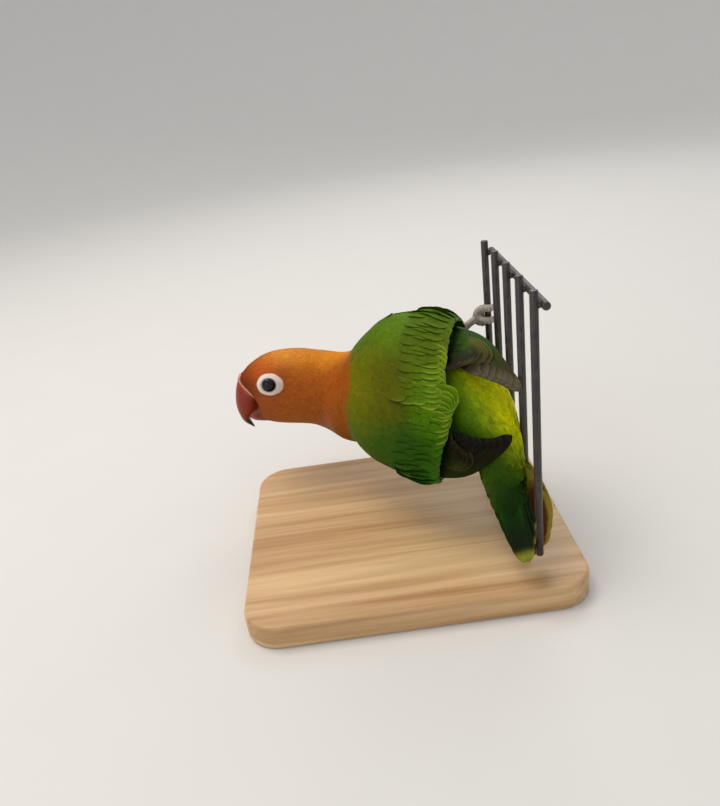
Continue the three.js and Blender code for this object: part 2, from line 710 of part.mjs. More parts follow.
function legSolid(foot, footPiece) {
  const hip = place(TORSO, ...foot.hip);
  const knee = hip.clone().lerp(foot.ankle, 0.5);
  const end = foot.ankle.clone();
  const tibia = limb([hip, knee, end], [6.5, 6, 4.9, 3.4, 2], 12);
  const room = ball(foot.ankle, 1.5 + GAP, 10, 8);
  return largest(tibia.subtract(fullSkin).subtract(fuse([footPiece, room])));
}

// Materials and the finished group

const COLOURS = {
  head: 0xb8561c,
  neck: 0xd07020,
  green: 0x4f7a10,
  rump: 0x5aa000,
  wing: 0x3a7a10,
  bill: 0x98372c,
  eye: 0x100c0a,
  foot: 0xa89c94,
  wire: 0x2a2320,
  wood: 0xc8a878,
  steel: 0x8a8c90,
};

const lovebird = new THREE.Group();

function add(name, shape, colour, roughness = 0.8, metalness = 0) {
  let geometry = shape;
  if (!shape.isBufferGeometry) {
    const { vertProperties, triVerts } = shape.getMesh();
    geometry = new THREE.BufferGeometry();
    geometry.setAttribute("position", new THREE.BufferAttribute(vertProperties, 3));
    geometry.setIndex(new THREE.BufferAttribute(triVerts, 1));
  }
  const material = new THREE.MeshStandardMaterial({ color: colour, roughness, metalness, flatShading: true });
  const mesh = new THREE.Mesh(geometry, material);
  mesh.name = name;
  lovebird.add(mesh);
  return mesh;
}

add("stand_base", basePlate(), COLOURS.wood, 0.5);
ROD.y.forEach((y, k) => add(`stand_rod_${k + 1}`, rodAt(y), COLOURS.steel, 0.35, 1));
wireY.forEach((y, k) => add(`perch_wire_${k + 1}`, uprightAt(y), COLOURS.wire, 0.45, 0.6));
add("perch_cross_low", crossWire(WIRE.x - crossOffset, CROSS.lowZ), COLOURS.wire, 0.45, 0.6);
add("perch_cross_high", crossWire(WIRE.x + crossOffset, CROSS.highZ), COLOURS.wire, 0.45, 0.6);

const wings = { right: wingSolid(WINGS.right), left: wingSolid(WINGS.left) };
const feet = { right: footSolid(FEET.right), left: footSolid(FEET.left) };

const parted = { rearShift: GAP / 2, frontShift: -GAP / 2 };
const trunk = skin(SPLIT.tail, SPLIT.neckRear, parted);
add("torso", largest(trunk.subtract(wiresGrown)), COLOURS.green);
add("neck", skin(SPLIT.neckRear, SPLIT.neckFront, parted), COLOURS.neck);
add("head", headSolid(), COLOURS.head);
add("bill_upper", billSolid(UPPER_BILL), COLOURS.bill, 0.4);
add("bill_lower", largest(billSolid(LOWER_BILL).subtract(billSolid(UPPER_BILL, GAP))), COLOURS.bill, 0.4);
for (const [name, side] of [["right", 1], ["left", -1]]) {
  add(`eye_${name}`, ball(eyeCentre(side), EYE.radius), COLOURS.eye, 0.05);
  add(`wing_${name}`, wings[name], COLOURS.wing);
  add(`foot_${name}`, feet[name], COLOURS.foot, 0.6);
  add(`leg_${name}`, legSolid(FEET[name], feet[name]), COLOURS.green);
}
add("tail", tailSolid(), COLOURS.rump);

export default lovebird;
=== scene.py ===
# A life-size lovebird that clings to a cut piece of upright wires on a display stand, and a studio for it.
# Sizes are in millimetres until a mesh is made.
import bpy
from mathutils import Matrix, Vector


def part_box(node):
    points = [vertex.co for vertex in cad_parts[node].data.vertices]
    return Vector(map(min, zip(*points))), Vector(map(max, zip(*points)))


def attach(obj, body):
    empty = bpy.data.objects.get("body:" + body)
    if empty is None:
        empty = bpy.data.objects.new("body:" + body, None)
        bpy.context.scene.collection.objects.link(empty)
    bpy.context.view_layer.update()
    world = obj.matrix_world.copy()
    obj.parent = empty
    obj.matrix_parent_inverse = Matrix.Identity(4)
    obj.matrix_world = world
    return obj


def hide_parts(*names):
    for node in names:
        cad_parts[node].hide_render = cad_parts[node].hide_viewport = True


bl_info = {
    "name": "Clinging lovebird",
    "version": (1, 0, 0),
    "blender": (4, 5, 0),
    "location": "View3D > Sidebar > Lovebird",
    "description": "Dresses the solids of a still lovebird on its perch with skin, feathers and finishes",
    "category": "Object",
}

import math

import bmesh
import bpy
import numpy as np
from bpy.props import FloatProperty, FloatVectorProperty, IntProperty, PointerProperty
from mathutils import Matrix, Vector
from mathutils.bvhtree import BVHTree
from mathutils.kdtree import KDTree

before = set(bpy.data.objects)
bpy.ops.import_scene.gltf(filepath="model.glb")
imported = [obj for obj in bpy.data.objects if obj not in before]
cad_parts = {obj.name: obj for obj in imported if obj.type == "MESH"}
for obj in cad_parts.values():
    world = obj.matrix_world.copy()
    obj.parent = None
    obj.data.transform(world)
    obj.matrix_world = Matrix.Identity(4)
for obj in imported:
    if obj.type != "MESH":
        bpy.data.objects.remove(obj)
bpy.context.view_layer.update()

MM = 0.001
ROOT = "root"
SIDES = (("right", 1), ("left", -1))


# Frames of the bird, as in its solids: origin, way ahead to the bill, and way up to the back

def unit(rows):
    """Vectors of length 1."""
    rows = np.asarray(rows, float)
    return rows / np.maximum(np.linalg.norm(rows, axis=-1, keepdims=True), 1e-9)


def dot(a, b):
    """Products of vectors, row by row."""
    return np.einsum("ij,ij->i", a, b)


def turns(sides):
    """Angles once round."""
    return np.linspace(0, 2 * math.pi, sides, endpoint=False)


def lengths_along(line):
    """The length of a line up to each of its points."""
    return np.concatenate([[0], np.cumsum(np.linalg.norm(np.diff(line, axis=0), axis=1))])


def make_frame(origin, ahead, up):
    """A frame of the bird, with its way up made square to its way ahead."""
    forward = unit(ahead)
    right = unit(np.cross(forward, up))
    return {"origin": np.array(origin, float), "ahead": forward, "right": right, "up": np.cross(right, forward)}


def place(part, back, side, up):
    """Points at back, side and up in that frame."""
    back, side, up = (np.asarray(value, float)[..., None] for value in (back, side, up))
    return part["origin"] - back * part["ahead"] + side * part["right"] + up * part["up"]


def local(part, points):
    """Back, side and up of points in that frame."""
    offset = np.asarray(points, float) - part["origin"]
    return -offset @ part["ahead"], offset @ part["right"], offset @ part["up"]


TORSO = make_frame((-11.3, 31.4, 43.6), (-0.678, 0.729, -0.095), (-0.666, -0.555, 0.499))
HEAD = make_frame((-39.3, 40, 47.3), (-0.992, 0.03, 0.105), (0.1, 0.15, 0.98))
TAIL = make_frame(place(TORSO, 67.6, -14, 0.2), (-0.03, 0.7, 0.713), (-0.611, -0.572, 0.548))
# Each foot: the wire that it grips, its height there, its ankle and its hip (back, side and up on the torso).
FEET = {
    "right": {"wire": 4, "height": 68.7, "ankle": (26.8, 22, 65.2), "hip": (37, 12, -10)},
    "left": {"wire": 3, "height": 31, "ankle": (26, 7.6, 29), "hip": (37, -6, -10)},
}
PALM = 2.0  # from the wire's surface to the middle of the palm
# Shares of the way from hip to ankle, and how far round it the points belong to the leg.
LEG_REACH = ((0, 0.5, 1), (7.5, 6.4, 4.2))
WIRE = {"radius": 1.15, "pitch": 14.4, "x": 37.8, "first_y": -34.8, "count": 5, "foot": 12.4, "top": 94}


def head_point(ahead, side, up):
    """Points ahead of, beside and above the head's middle."""
    return place(HEAD, -np.asarray(ahead, float), side, up)


def graph(rows, x, column=1):
    """Smooth values at x from rows of (x, value, ...)."""
    rows = np.array(rows, float)
    at, values = rows[:, 0], rows[:, column]
    slopes = np.gradient(values, at)
    x = np.clip(np.asarray(x, float), at[0], at[-1])
    k = np.clip(np.searchsorted(at, x, side="right") - 1, 0, len(at) - 2)
    span = at[k + 1] - at[k]
    t = (x - at[k]) / span
    start = (2 * t**3 - 3 * t**2 + 1) * values[k] + (t**3 - 2 * t**2 + t) * slopes[k] * span
    return start + (3 * t**2 - 2 * t**3) * values[k + 1] + (t**3 - t**2) * slopes[k + 1] * span


def smoothstep(low, high, value):
    """A smooth step from 0 at low to 1 at high."""
    t = np.clip((value - low) / (high - low), 0, 1)
    return t * t * (3 - 2 * t)


# Meshes

def only(*pieces):
    """Selects these pieces alone and makes the first one active."""
    bpy.ops.object.select_all(action="DESELECT")
    for piece in pieces:
        piece.select_set(True)
    bpy.context.view_layer.objects.active = pieces[0]


def settle(piece, finish=None):
    """Puts the piece's place, turn and size into its mesh and gives it one finish."""
    only(piece)
    bpy.ops.object.transform_apply(location=True, rotation=True, scale=True)
    if finish:
        piece.data.materials.clear()
        piece.data.materials.append(finish)
    return piece


def add_modifier(piece, kind, **fields):
    """Adds a modifier with its fields."""
    modifier = piece.modifiers.new(kind.title(), kind)
    for field, value in fields.items():
        setattr(modifier, field, value)


def apply_all(piece):
    """Applies the piece's modifiers in their order."""
    only(piece)
    for modifier in list(piece.modifiers):
        bpy.ops.object.modifier_apply(modifier=modifier.name)


def hand_over(piece, slot, *nodes):
    """The piece rides on the still body and stands for these solids; its slot is not used."""
    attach(piece, ROOT)
    if nodes:
        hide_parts(*nodes)


def mesh_rows(source, field, width=3, kind=np.float32):
    """One field of a mesh's vertices or triangles, as rows."""
    rows = np.empty(len(source) * width, kind)
    source.foreach_get(field, rows)
    return rows.reshape(-1, width)


def points_of(mesh):
    """A mesh's points in millimetres."""
    return mesh_rows(mesh.vertices, "co").astype(float) / MM


def move_points(mesh, points):
    """Moves a mesh's points to places in millimetres."""
    mesh.vertices.foreach_set("co", (points * MM).ravel().astype(np.float32))
    mesh.update()


def paint(mesh, tint):
    """Shades a mesh smooth and gives each of its points a colour."""
    mesh.polygons.foreach_set("use_smooth", np.full(len(mesh.polygons), True))
    colours = mesh.color_attributes.new("Tint", "FLOAT_COLOR", "POINT")
    colours.data.foreach_set("color", np.column_stack([tint, np.ones(len(tint))]).ravel().astype(np.float32))


def turned_outwards(points, faces):
    """The triangles of a closed body, all facing out."""
    a, b, c = (points[faces[:, k]] for k in range(3))
    volume = dot(a, np.cross(b, c)).sum()
    return faces if volume > 0 else faces[:, ::-1]


def mesh_piece(name, points, faces, finish=None, tint=None, maps=None, rim=None):
    """A mesh from arrays in millimetres, with a colour at each point and UV maps given point by point.

    Edges that bend more than rim, in degrees, are shaded as sharp ones.
    """
    mesh = bpy.data.meshes.new(name)
    mesh.from_pydata((points * MM).tolist(), [], faces.tolist())
    corners = faces.ravel()
    for map_name, places in (maps or {}).items():
        layer = mesh.uv_layers.new(name=map_name)
        layer.data.foreach_set("uv", places[corners].ravel().astype(np.float32))
    if tint is not None:
        paint(mesh, tint)
    if finish:
        mesh.materials.append(finish)
    mesh.update()
    if rim is not None:
        mesh.set_sharp_from_angle(angle=math.radians(rim))
    piece = bpy.data.objects.new(name, mesh)
    bpy.context.collection.objects.link(piece)
    return piece


def with_ends(rings):
    """Values given ring by ring, with those of the two points that close the ends."""
    rings = np.asarray(rings, float)
    return np.vstack([rings.reshape(-1, rings.shape[-1]), rings[0].mean(0), rings[-1].mean(0)])


def walls(count, sides, closed=False):
    """Triangles from each ring of points to the next, and to the first from the last if they are closed."""
    r, k = np.meshgrid(np.arange(count if closed else count - 1), np.arange(sides), indexing="ij")
    a, b = r * sides + k, r * sides + (k + 1) % sides
    onward = (r + 1) % count * sides - r * sides
    quads = np.stack([a, b, b + onward, a + onward], -1).reshape(-1, 4)
    return np.vstack([quads[:, [0, 1, 2]], quads[:, [0, 2, 3]]])


def loft(rings):
    """Points and triangles of a closed body through rings of points, each end closed by a fan."""
    points = with_ends(rings)
    count, sides = np.shape(rings)[:2]
    k = np.arange(sides)
    after = (k + 1) % sides
    last = (count - 1) * sides
    first_cap = np.column_stack([after, k, np.full(sides, count * sides)])
    last_cap = np.column_stack([last + k, last + after, np.full(sides, count * sides + 1)])
    return points, turned_outwards(points, np.vstack([walls(count, sides), first_cap, last_cap]))


def lofted(name, rings, finish=None, tint=None):
    """A closed piece through rings of points, with a colour for each of them."""
    points, faces = loft(rings)
    return mesh_piece(name, points, faces, finish, None if tint is None else with_ends(tint))


def joined(parts):
    """Several bodies' points and faces as one."""
    points, faces, start = [], [], 0
    for part_points, part_faces in parts:
        points.append(part_points)
        faces.append(part_faces + start)
        start += len(part_points)
    return np.vstack(points), np.vstack(faces)


def smooth_line(points, count):
    """Points spread evenly by number along a smooth line through the given ones."""
    points = np.asarray(points, float)
    at = np.linspace(0, len(points) - 1, count)
    rows = np.column_stack([np.arange(len(points)), points])
    return np.column_stack([graph(rows, at, column) for column in range(1, points.shape[1] + 1)])


# Node materials

def linear(hex_colour):
    """A colour written as sRGB hex, as the linear values that the shaders take."""
    channels = [int(hex_colour[k : k + 2], 16) / 255 for k in (1, 3, 5)]
    return [c / 12.92 if c <= 0.04045 else ((c + 0.055) / 1.055) ** 2.4 for c in channels]


def add_node(tree, kind, inputs=None, links=None, **fields):
    """A node with its fields and its sockets' values. A link comes from a socket or a node's first output."""
    made = tree.nodes.new(f"ShaderNode{kind}")
    for field, value in fields.items():
        setattr(made, field, value)
    for socket, value in (inputs or {}).items():
        made.inputs[socket].default_value = value
    for socket, source in (links or {}).items():
        tree.links.new(getattr(source, "outputs", (source,))[0], made.inputs[socket])
    return made


def new_material(name):
    """A material without nodes, its node tree, and the object's own coordinates in it."""
    material = bpy.data.materials.new(name)
    material.use_nodes = True
    tree = material.node_tree
    tree.nodes.clear()
    return material, tree, add_node(tree, "TexCoord").outputs["Object"]


def close_material(material, inputs, colour=None, relief=None, **links):
    """Ends a material in its shader. relief is a height with the bump's strength and depth in metres."""
    tree = material.node_tree
    if relief:
        height, strength, depth = relief
        links["Normal"] = add_node(tree, "Bump", {"Strength": strength, "Distance": depth}, {"Height": height})
    if colour:
        links["Base Color"] = colour
    shader = add_node(tree, "BsdfPrincipled", inputs, links)
    add_node(tree, "OutputMaterial", links={"Surface": shader})
    return material


def two_tones(tree, pattern, low, high):
    """Turns a pattern into a colour between two, each given as its place in the pattern and its colour."""
    ramp = add_node(tree, "ValToRGB", links={"Fac": pattern})
    for stop, (position, colour) in zip(ramp.color_ramp.elements, (low, high)):
        stop.position, stop.color = position, (*colour, 1)
    return ramp


def varied_tint(tree, pattern, span, strength):
    """The points' own colours, made darker and paler by a pattern from low to high."""
    values = dict(zip(("From Min", "From Max", "To Min", "To Max"), (*span, *strength)))
    factor = add_node(tree, "MapRange", values, {"Value": pattern})
    tint = add_node(tree, "Attribute", attribute_name="Tint")
    return add_node(tree, "VectorMath", links={0: tint, "Scale": factor}, operation="SCALE")


# Markings

# Patches of colour: place, reach, colour. Places on the head are ahead of, beside and above its middle, and
# those on the body behind the neck base, to the right and upward.
HOOD = (
    ((-3, 12, 7), 2.6, "#8E4210"),  # behind and over the eye: darker, as painted shade round the ring
    ((12, 0, 5), 4.5, "#79350A"),  # forehead
    ((7, 0, 11), 4.5, "#B4521C"),  # fore crown
    ((-2, 0, 14), 6, "#DC933A"),  # crown
    ((-12, 0, 14), 6, "#C6771F"),  # hind crown
    ((-22, 0, 13), 7, "#D4820D"),  # nape
    ((4, 9, 8), 4, "#B24D19"),  # brow
    ((8, 6, 0), 3.5, "#6A2B10"),  # lores
    ((4, 9, -6), 4, "#9F5128"),  # fore cheek
    ((-4, 12, -4), 5, "#9E541F"),  # cheek
    ((-12, 13, 0), 6, "#A5531C"),  # ear
    ((-22, 14, 0), 7, "#8E480E"),  # side of the neck
    ((3, 0, -13), 5, "#86401D"),  # chin
    ((-10, 5, -15), 7, "#A7662E"),  # throat
    ((-22, 6, -18), 8, "#734306"),  # fore neck
)
BODY = (
    ((8, 0, 15), 5, "#715E01"),  # edge of the mantle
    ((18, 2, 18), 7, "#676701"),  # mantle
    ((30, 2, 18), 7, "#4A4C01"),  # hind mantle
    ((14, 20, 8), 8, "#465E02"),  # right shoulder
    ((24, 27, 4), 8, "#567C04"),
    ((14, -18, 8), 8, "#4E6404"),  # left shoulder
    ((38, 22, 10), 8, "#4C6104"),  # right coverts
    ((38, -20, 10), 8, "#284D09"),  # left coverts, darker than the right ones as painted shade
    ((26, -20, 6), 6, "#27480A"),
    ((36, 30, -4), 8, "#345C0C"),  # lower wing edges
    ((36, -24, -4), 8, "#397519"),
    ((52, 2, 12), 6, "#4C7201"),  # rump
    ((58, 2, 8), 5, "#3D6601"),
    ((60, -8, 6), 6, "#285902"),
    ((57, 10, 0), 5.2, "#F4EE0A"),  # right flank of the rump: yellow, made brighter by a painted highlight
    ((63, 2, -2), 4.8, "#ECE60A"),
    ((69, -6, -4), 4, "#C4C808"),
    ((66, -14, 5), 5, "#0C3302"),  # upper tail coverts
    ((73, -20, 4), 6, "#062301"),
    ((84, -30, 4), 8, "#082301"),
    ((62, -14, -10), 7, "#86A80C"),  # vent
    ((44, 0, -16), 10, "#76980C"),  # belly
    ((24, 0, -20), 10, "#88980E"),
    ((8, 0, -20), 8, "#BC8C14"),  # breast
)
# How far behind the neck base the orange hood ends, by angle round the trunk from the back to its right.
HOOD_EDGE = ((-180, 8), (-135, 7), (-90, 6), (-45, 11.5), (0, 14.5), (45, 8.5), (90, -1), (135, 3), (180, 8))
HOOD_BLEND = 1.6


def mixed(tint, colour, share):
    """Colours with a share of another colour, hex or linear, laid over them."""
    over = np.array(linear(colour)) if isinstance(colour, str) else colour
    share = np.asarray(share)[..., None]
    return tint * (1 - share) + over * share


def patches_at(patches, coordinates):
    """The patches' colours at coordinates, each counted by how near it is."""
    weights = np.zeros(len(coordinates))
    total = np.zeros((len(coordinates), 3))
    for middle, reach, colour in patches:
        distance = np.linalg.norm(coordinates - np.array(middle, float), axis=1)
        weight = np.exp(-0.5 * (distance / reach) ** 2) + 1e-9
        weights += weight
        total += weight[:, None] * np.array(linear(colour))
    return total / weights[:, None]


def hood_share(points):
    """1 where the plumage is orange, 0 where it is green."""
    back, side, up = local(TORSO, points)
    angle = np.degrees(np.arctan2(side, up))
    return 1 - smoothstep(-HOOD_BLEND, HOOD_BLEND, back - graph(HOOD_EDGE, angle))


def markings(points):
    """The plumage's colour at points, the same for the skin and for all that grows on it."""
    back, side, up = local(HEAD, points)
    hood = patches_at(HOOD, np.column_stack([-back, np.abs(side), up]))
    body = patches_at(BODY, np.column_stack(local(TORSO, points)))
    return mixed(body, hood, hood_share(points))


# The lie of the plumage

SPINE = smooth_line(
    [
        *(head_point(*stop) for stop in ((12, 0, 0), (0, 0, -1), (-14.8, 0, -1.4))),
        *(place(TORSO, *stop) for stop in ((0, -0.7, 0.2), (22, 3.2, 0), (46, 2.6, 0), (63, -6.5, 0))),
        TAIL["origin"],
        place(TAIL, 16, 0, 0),
    ],
    241,
)
SPINE_WAY = unit(np.gradient(SPINE, axis=0))
SPINE_FAR = lengths_along(SPINE)


def along_spine(points):
    """For each point: distance along the spine, angle round it and the way to the tail there."""
    nearest = np.concatenate(
        [
            np.argmin(((part[:, None, :] - SPINE[None]) ** 2).sum(-1), axis=1)
            for part in np.array_split(points, max(1, len(points) // 4000))
        ]
    )
    way = SPINE_WAY[nearest]
    across = unit(np.cross(TORSO["up"], way))
    upward = np.cross(way, across)
    offset = points - SPINE[nearest]
    angle = np.arctan2(dot(offset, across), dot(offset, upward))
    far = SPINE_FAR[nearest] + dot(offset, way)
    return far, angle, way


def lie_at(points, normals):
    """The way that feathers point on the skin, along its surface."""
    way = along_spine(points)[2]
    for foot in FEET.values():
        share, _, _, down = beside_leg(foot, points)
        on_leg = smoothstep(0.2, 0.55, share)[:, None]
        way = way * (1 - on_leg) + down * on_leg
    return unit(way - dot(way, normals)[:, None] * normals)


def wire_place(foot):
    """Where the gripped wire stands, along the row of wires."""
    return WIRE["first_y"] + foot["wire"] * WIRE["pitch"]


def leg_joints(foot):
    """A leg's hip, its ankle and its palm behind the wire."""
    palm = (WIRE["x"] - WIRE["radius"] - PALM, wire_place(foot), foot["height"])
    return place(TORSO, *foot["hip"]), np.array(foot["ankle"], float), np.array(palm)


def beside_leg(foot, points):
    """How far down a leg the points beside it are (0 where they aren't), with place round and along it."""
    hip, ankle, _ = leg_joints(foot)
    down = unit(ankle - hip)
    along = (points - hip) @ down / np.linalg.norm(ankle - hip)
    offset = points - hip - np.outer((points - hip) @ down, down)
    away = np.linalg.norm(offset, axis=1)
    across = unit(np.cross(down, TORSO["up"]))
    turn = np.arctan2(offset @ np.cross(down, across), offset @ across)
    near = away < np.interp(along, *LEG_REACH)
    return np.where(near & (along < 1.2), np.clip(along, 0, 1), 0.0), turn, along, down


# Settings

def number_setting(name, description, default, **fields):
    """A size or power that the user can change."""
    return FloatProperty(name=name, description=description, default=default, **fields)


class LovebirdPlumage(bpy.types.PropertyGroup):
    """Sizes of the skin and the coat."""

    coat_depth: number_setting("Coat depth", "How deep the skin lies under the solids", 0.00045, unit="LENGTH")
    grain: number_setting("Skin grain", "Cell size of the fused skin", 0.0006, unit="LENGTH")
    closeness: number_setting("Closeness", "Spacing of the feathers against their usual one", 1.0, min=0.5)
    seed: IntProperty(name="Seed", description="Start of the random draws", default=11)


def colour_setting(name, description, hex_colour):
    """A colour that the user can change."""
    return FloatVectorProperty(
        name=name, description=description, subtype="COLOR", size=3, min=0, max=1, default=linear(hex_colour)
    )


class LovebirdColours(bpy.types.PropertyGroup):
    """Colours of the bare parts, the perch and the stand. The plumage's are in the lists of its markings."""

    cere: colour_setting("Cere", "The swollen skin round the nostrils", "#C98E7A")
    scales: colour_setting("Foot scales", "The raised scutes of the feet", "#B9AFA4")
    grooves: colour_setting("Foot grooves", "The skin between the scutes", "#7C7068")
    wire: colour_setting("Wire", "The enamel of the wires", "#232022")
    wire_wear: colour_setting("Worn wire", "The enamel where it is worn", "#4A3C30")
    grain: colour_setting("Wood grain", "The dark lines of the base", "#A97C4E")
    wood: colour_setting("Wood", "The pale wood of the base", "#D9B684")
    steel: colour_setting("Steel", "The two rods of the stand", "#B4B6B8")


def chosen(name):
    """A colour from the settings."""
    return np.array(getattr(bpy.context.scene.lovebird_colours, name))


def seeded(offset=0):
    """The random draws of one step."""
    return np.random.default_rng(bpy.context.scene.lovebird_plumage.seed + offset)


# Skin

# The eye: place, ball, opening of the lids, bare ring. The lids lie sink deep, and feathers lie over the
# ring's edge by tuck. The skin is lowered to socket and rises by slope from brink outside the lids.
EYE = {
    "ahead": 0.9, "up": 2.8, "side": 12.2, "radius": 3.1, "visible": 2.1, "ring": 3.0, "flatness": 0.78,
    "sink": 0.05, "tuck": 0.05, "socket": -0.3, "slope": 0.45, "brink": 2.2, "reach": 7, "depth": -4,
}
# The forehead: its end, how much of the skin past that is drawn back, and between which heights.
FOREHEAD = {"ahead": 12.0, "pull": 0.5, "low": 0.5, "high": 2.5}
# The chin's skin: from and to which stations of the lower bill it goes, how much wider it is, and its taper.
CHIN = {"from": 0.2, "reach": 2.1, "cover": 1.15, "taper": 0.6}
# The body under the back: start and end behind the neck base, reach to each side in degrees, thickness,
# depth under the coverts, and how much deeper its front and rear lie.
MANTLE = {"start": 6, "end": 51, "side": 14, "thick": 6, "depth": 0.35, "front": 1.5, "rear": 3.2}
# The lower thigh: shares of the way from hip to ankle, then from ankle to palm, and its radii on that line.
THIGH = {"above": (0.45, 0.8), "below": 0.2, "at": (0, 0.5, 0.8, 1), "radii": (5.6, 4.6, 3.5, 2.3), "rows": 14}
SEAM_COVER = 0.35  # how far the solids swell before they are fused, to close the cuts between them
WELD = 0.02  # points of a solid's copy that are nearer than this become one
WING_SLANT = 0.42  # slope of the plane that cuts the quills off a wing's copy
TAIL_KEPT = 9  # how much of the tail's copy is kept for the skin
SKIN_NODES = ("torso", "neck", "head", "leg_right", "leg_left")


def flesh_copy(node, cuts=()):
    """A copy of a solid for the skin, cut off past each plane that is given by a point and an outward way."""
    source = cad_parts[node]
    piece = bpy.data.objects.new(f"flesh_{node}", source.data.copy())
    bpy.context.collection.objects.link(piece)
    only(piece)
    bpy.ops.object.mode_set(mode="EDIT")
    bpy.ops.mesh.select_all(action="SELECT")
    bpy.ops.mesh.remove_doubles(threshold=WELD * MM)
    for point, way in cuts:
        bpy.ops.mesh.select_all(action="SELECT")
        bpy.ops.mesh.bisect(plane_co=point * MM, plane_no=unit(way), use_fill=True, clear_outer=True)
    bpy.ops.object.mode_set(mode="OBJECT")
    add_modifier(piece, "DISPLACE", strength=SEAM_COVER * MM, mid_level=0)
    apply_all(piece)
    return piece


def wing_cut(wing):
    """The slanting plane behind the soft coverts, past which a wing is only quills."""
    return place(TORSO, wing["cut"], BARREL, 0), -TORSO["ahead"] + WING_SLANT * wing["sign"] * TORSO["right"]


def mantle_fill():
    """A body under the middle of the back, which closes the slot between the coverts of the two wings."""
    start, end, side = MANTLE["start"], MANTLE["end"], MANTLE["side"]
    degrees = np.linspace(-side, side, 9)
    rings = []
    for back in np.linspace(start, end, 16):
        depth = MANTLE["depth"] + MANTLE["rear"] * smoothstep(end - 4, end, back)
        depth += MANTLE["front"] * (1 - smoothstep(start, start + 8, back))
        rows = np.full(9, back)
        outside = cover_point(WINGS["right"], rows, degrees, -depth)
        inside = cover_point(WINGS["right"], rows, degrees, -depth - MANTLE["thick"])
        rings.append(np.vstack([outside, inside[::-1]]))
    return lofted("flesh_mantle", rings)


def chin_fill():
    """A muff of skin round the root of the lower bill, for the chin feathers that lie against it."""
    reach, taper = CHIN["reach"], CHIN["taper"]
    stations = np.linspace(CHIN["from"], reach, 12)
    grow = CHIN["cover"] * (1 - smoothstep(reach - taper, reach, stations) * taper)
    return lofted("flesh_chin", bill_rings(LOWER_BILL, stations, grow, keel=LOWER_KEEL))


def leg_fill(foot):
    """The feathered lower thigh, which closes round the bare shank's upper end."""
    hip, ankle, palm = leg_joints(foot)
    above = [hip + share * (ankle - hip) for share in THIGH["above"]]
    line = smooth_line([*above, ankle, ankle + THIGH["below"] * (palm - ankle)], THIGH["rows"])
    radii = np.interp(np.linspace(0, 1, THIGH["rows"]), THIGH["at"], THIGH["radii"])
    return lofted("flesh_thigh", limb(line, radii))


def fused_skin():
    """One closed skin in place of the flesh solids, a coat's depth inside them."""
    settings = bpy.context.scene.lovebird_plumage
    pieces = [flesh_copy(node) for node in SKIN_NODES]
    pieces += [flesh_copy(f"wing_{name}", [wing_cut(wing)]) for name, wing in WINGS.items()]
    pieces.append(flesh_copy("tail", [(place(TAIL, TAIL_KEPT, 0, 0), -TAIL["ahead"])]))
    pieces += [mantle_fill(), chin_fill(), *(leg_fill(foot) for foot in FEET.values())]
    only(*pieces)
    bpy.ops.object.join()
    skin = bpy.context.object
    skin.name = skin.data.name = "skin"
    add_modifier(skin, "REMESH", mode="VOXEL", voxel_size=settings.grain)
    add_modifier(skin, "SMOOTH", factor=0.5, iterations=20)
    add_modifier(skin, "DISPLACE", strength=-SEAM_COVER * MM - settings.coat_depth, mid_level=0)
    add_modifier(skin, "SMOOTH", factor=0.5, iterations=3)
    apply_all(skin)
    largest_part(skin)
    shape_face(skin)
    return skin


def shape_face(skin):
    """Draws the skin back over the cere, and lowers it round the eyes where the feathers end."""
    points = points_of(skin.data)
    back, _, up = local(HEAD, points)
    end = FOREHEAD["ahead"]
    share = smoothstep(FOREHEAD["low"], FOREHEAD["high"], up) * smoothstep(end - 1, end, -back)
    points += HEAD["ahead"] * ((end + back) * FOREHEAD["pull"] * share)[:, None]
    for _, sign in SIDES:
        outward, along, rise = eye_axes(sign)
        offset = points - eye_middle(sign)
        height = offset @ outward
        reach = np.hypot(offset @ along, offset @ rise / EYE["flatness"])
        room = EYE["socket"] + EYE["slope"] * np.maximum(reach - EYE["visible"] - EYE["brink"], 0)
        near = (reach < EYE["reach"]) & (height > EYE["depth"])
        points -= outward * np.where(near, np.maximum(height - room, 0), 0)[:, None]
    move_points(skin.data, points)


def largest_part(piece):
    """Keeps only the largest connected surface of a mesh."""
    shape = bmesh.new()
    shape.from_mesh(piece.data)
    left = set(shape.verts)
    best = set()
    while left:
        group = {left.pop()}
        edge = list(group)
        while edge:
            found = {other for vert in edge for link in vert.link_edges for other in link.verts} & left
            left -= found
            group |= found
            edge = list(found)
        if len(group) > len(best):
            best = group
    bmesh.ops.delete(shape, geom=[vert for vert in shape.verts if vert not in best], context="VERTS")
    shape.to_mesh(piece.data)
    shape.free()


def skin_finish():
    """Bare bird skin between the feather bases: dull, in the colour of the plumage round it, darkened as
    painted shade.
    """
    material, tree, place_at = new_material("downy_skin")
    tint = add_node(tree, "Attribute", attribute_name="Tint")
    # The down's tufts are about 0.4 mm wide.
    down = add_node(tree, "TexNoise", {"Scale": 2500, "Detail": 3}, {"Vector": place_at})
    inputs = {"Roughness": 0.85, "Specular IOR Level": 0.2}
    return close_material(material, inputs, tint, (down, 0.5, 0.0003))


class LOVEBIRD_OT_skin(bpy.types.Operator):
    """Fuses copies of the solids of flesh into one skin, smooths it and draws it in by the coat's depth"""

    bl_idname = "lovebird.skin"
    bl_label = "Skin"

    def execute(self, context):
        skin = fused_skin()
        points = points_of(skin.data)
        # Painted shade: the skin takes the plumage's colours made darker, to 0.8 under the green and 0.95 under
        # the orange.
        paint(skin.data, markings(points) * (0.8 + 0.15 * hood_share(points))[:, None])
        settle(skin, skin_finish())
        hand_over(skin, "green_feathers", *SKIN_NODES)
        return {"FINISHED"}


# Coat

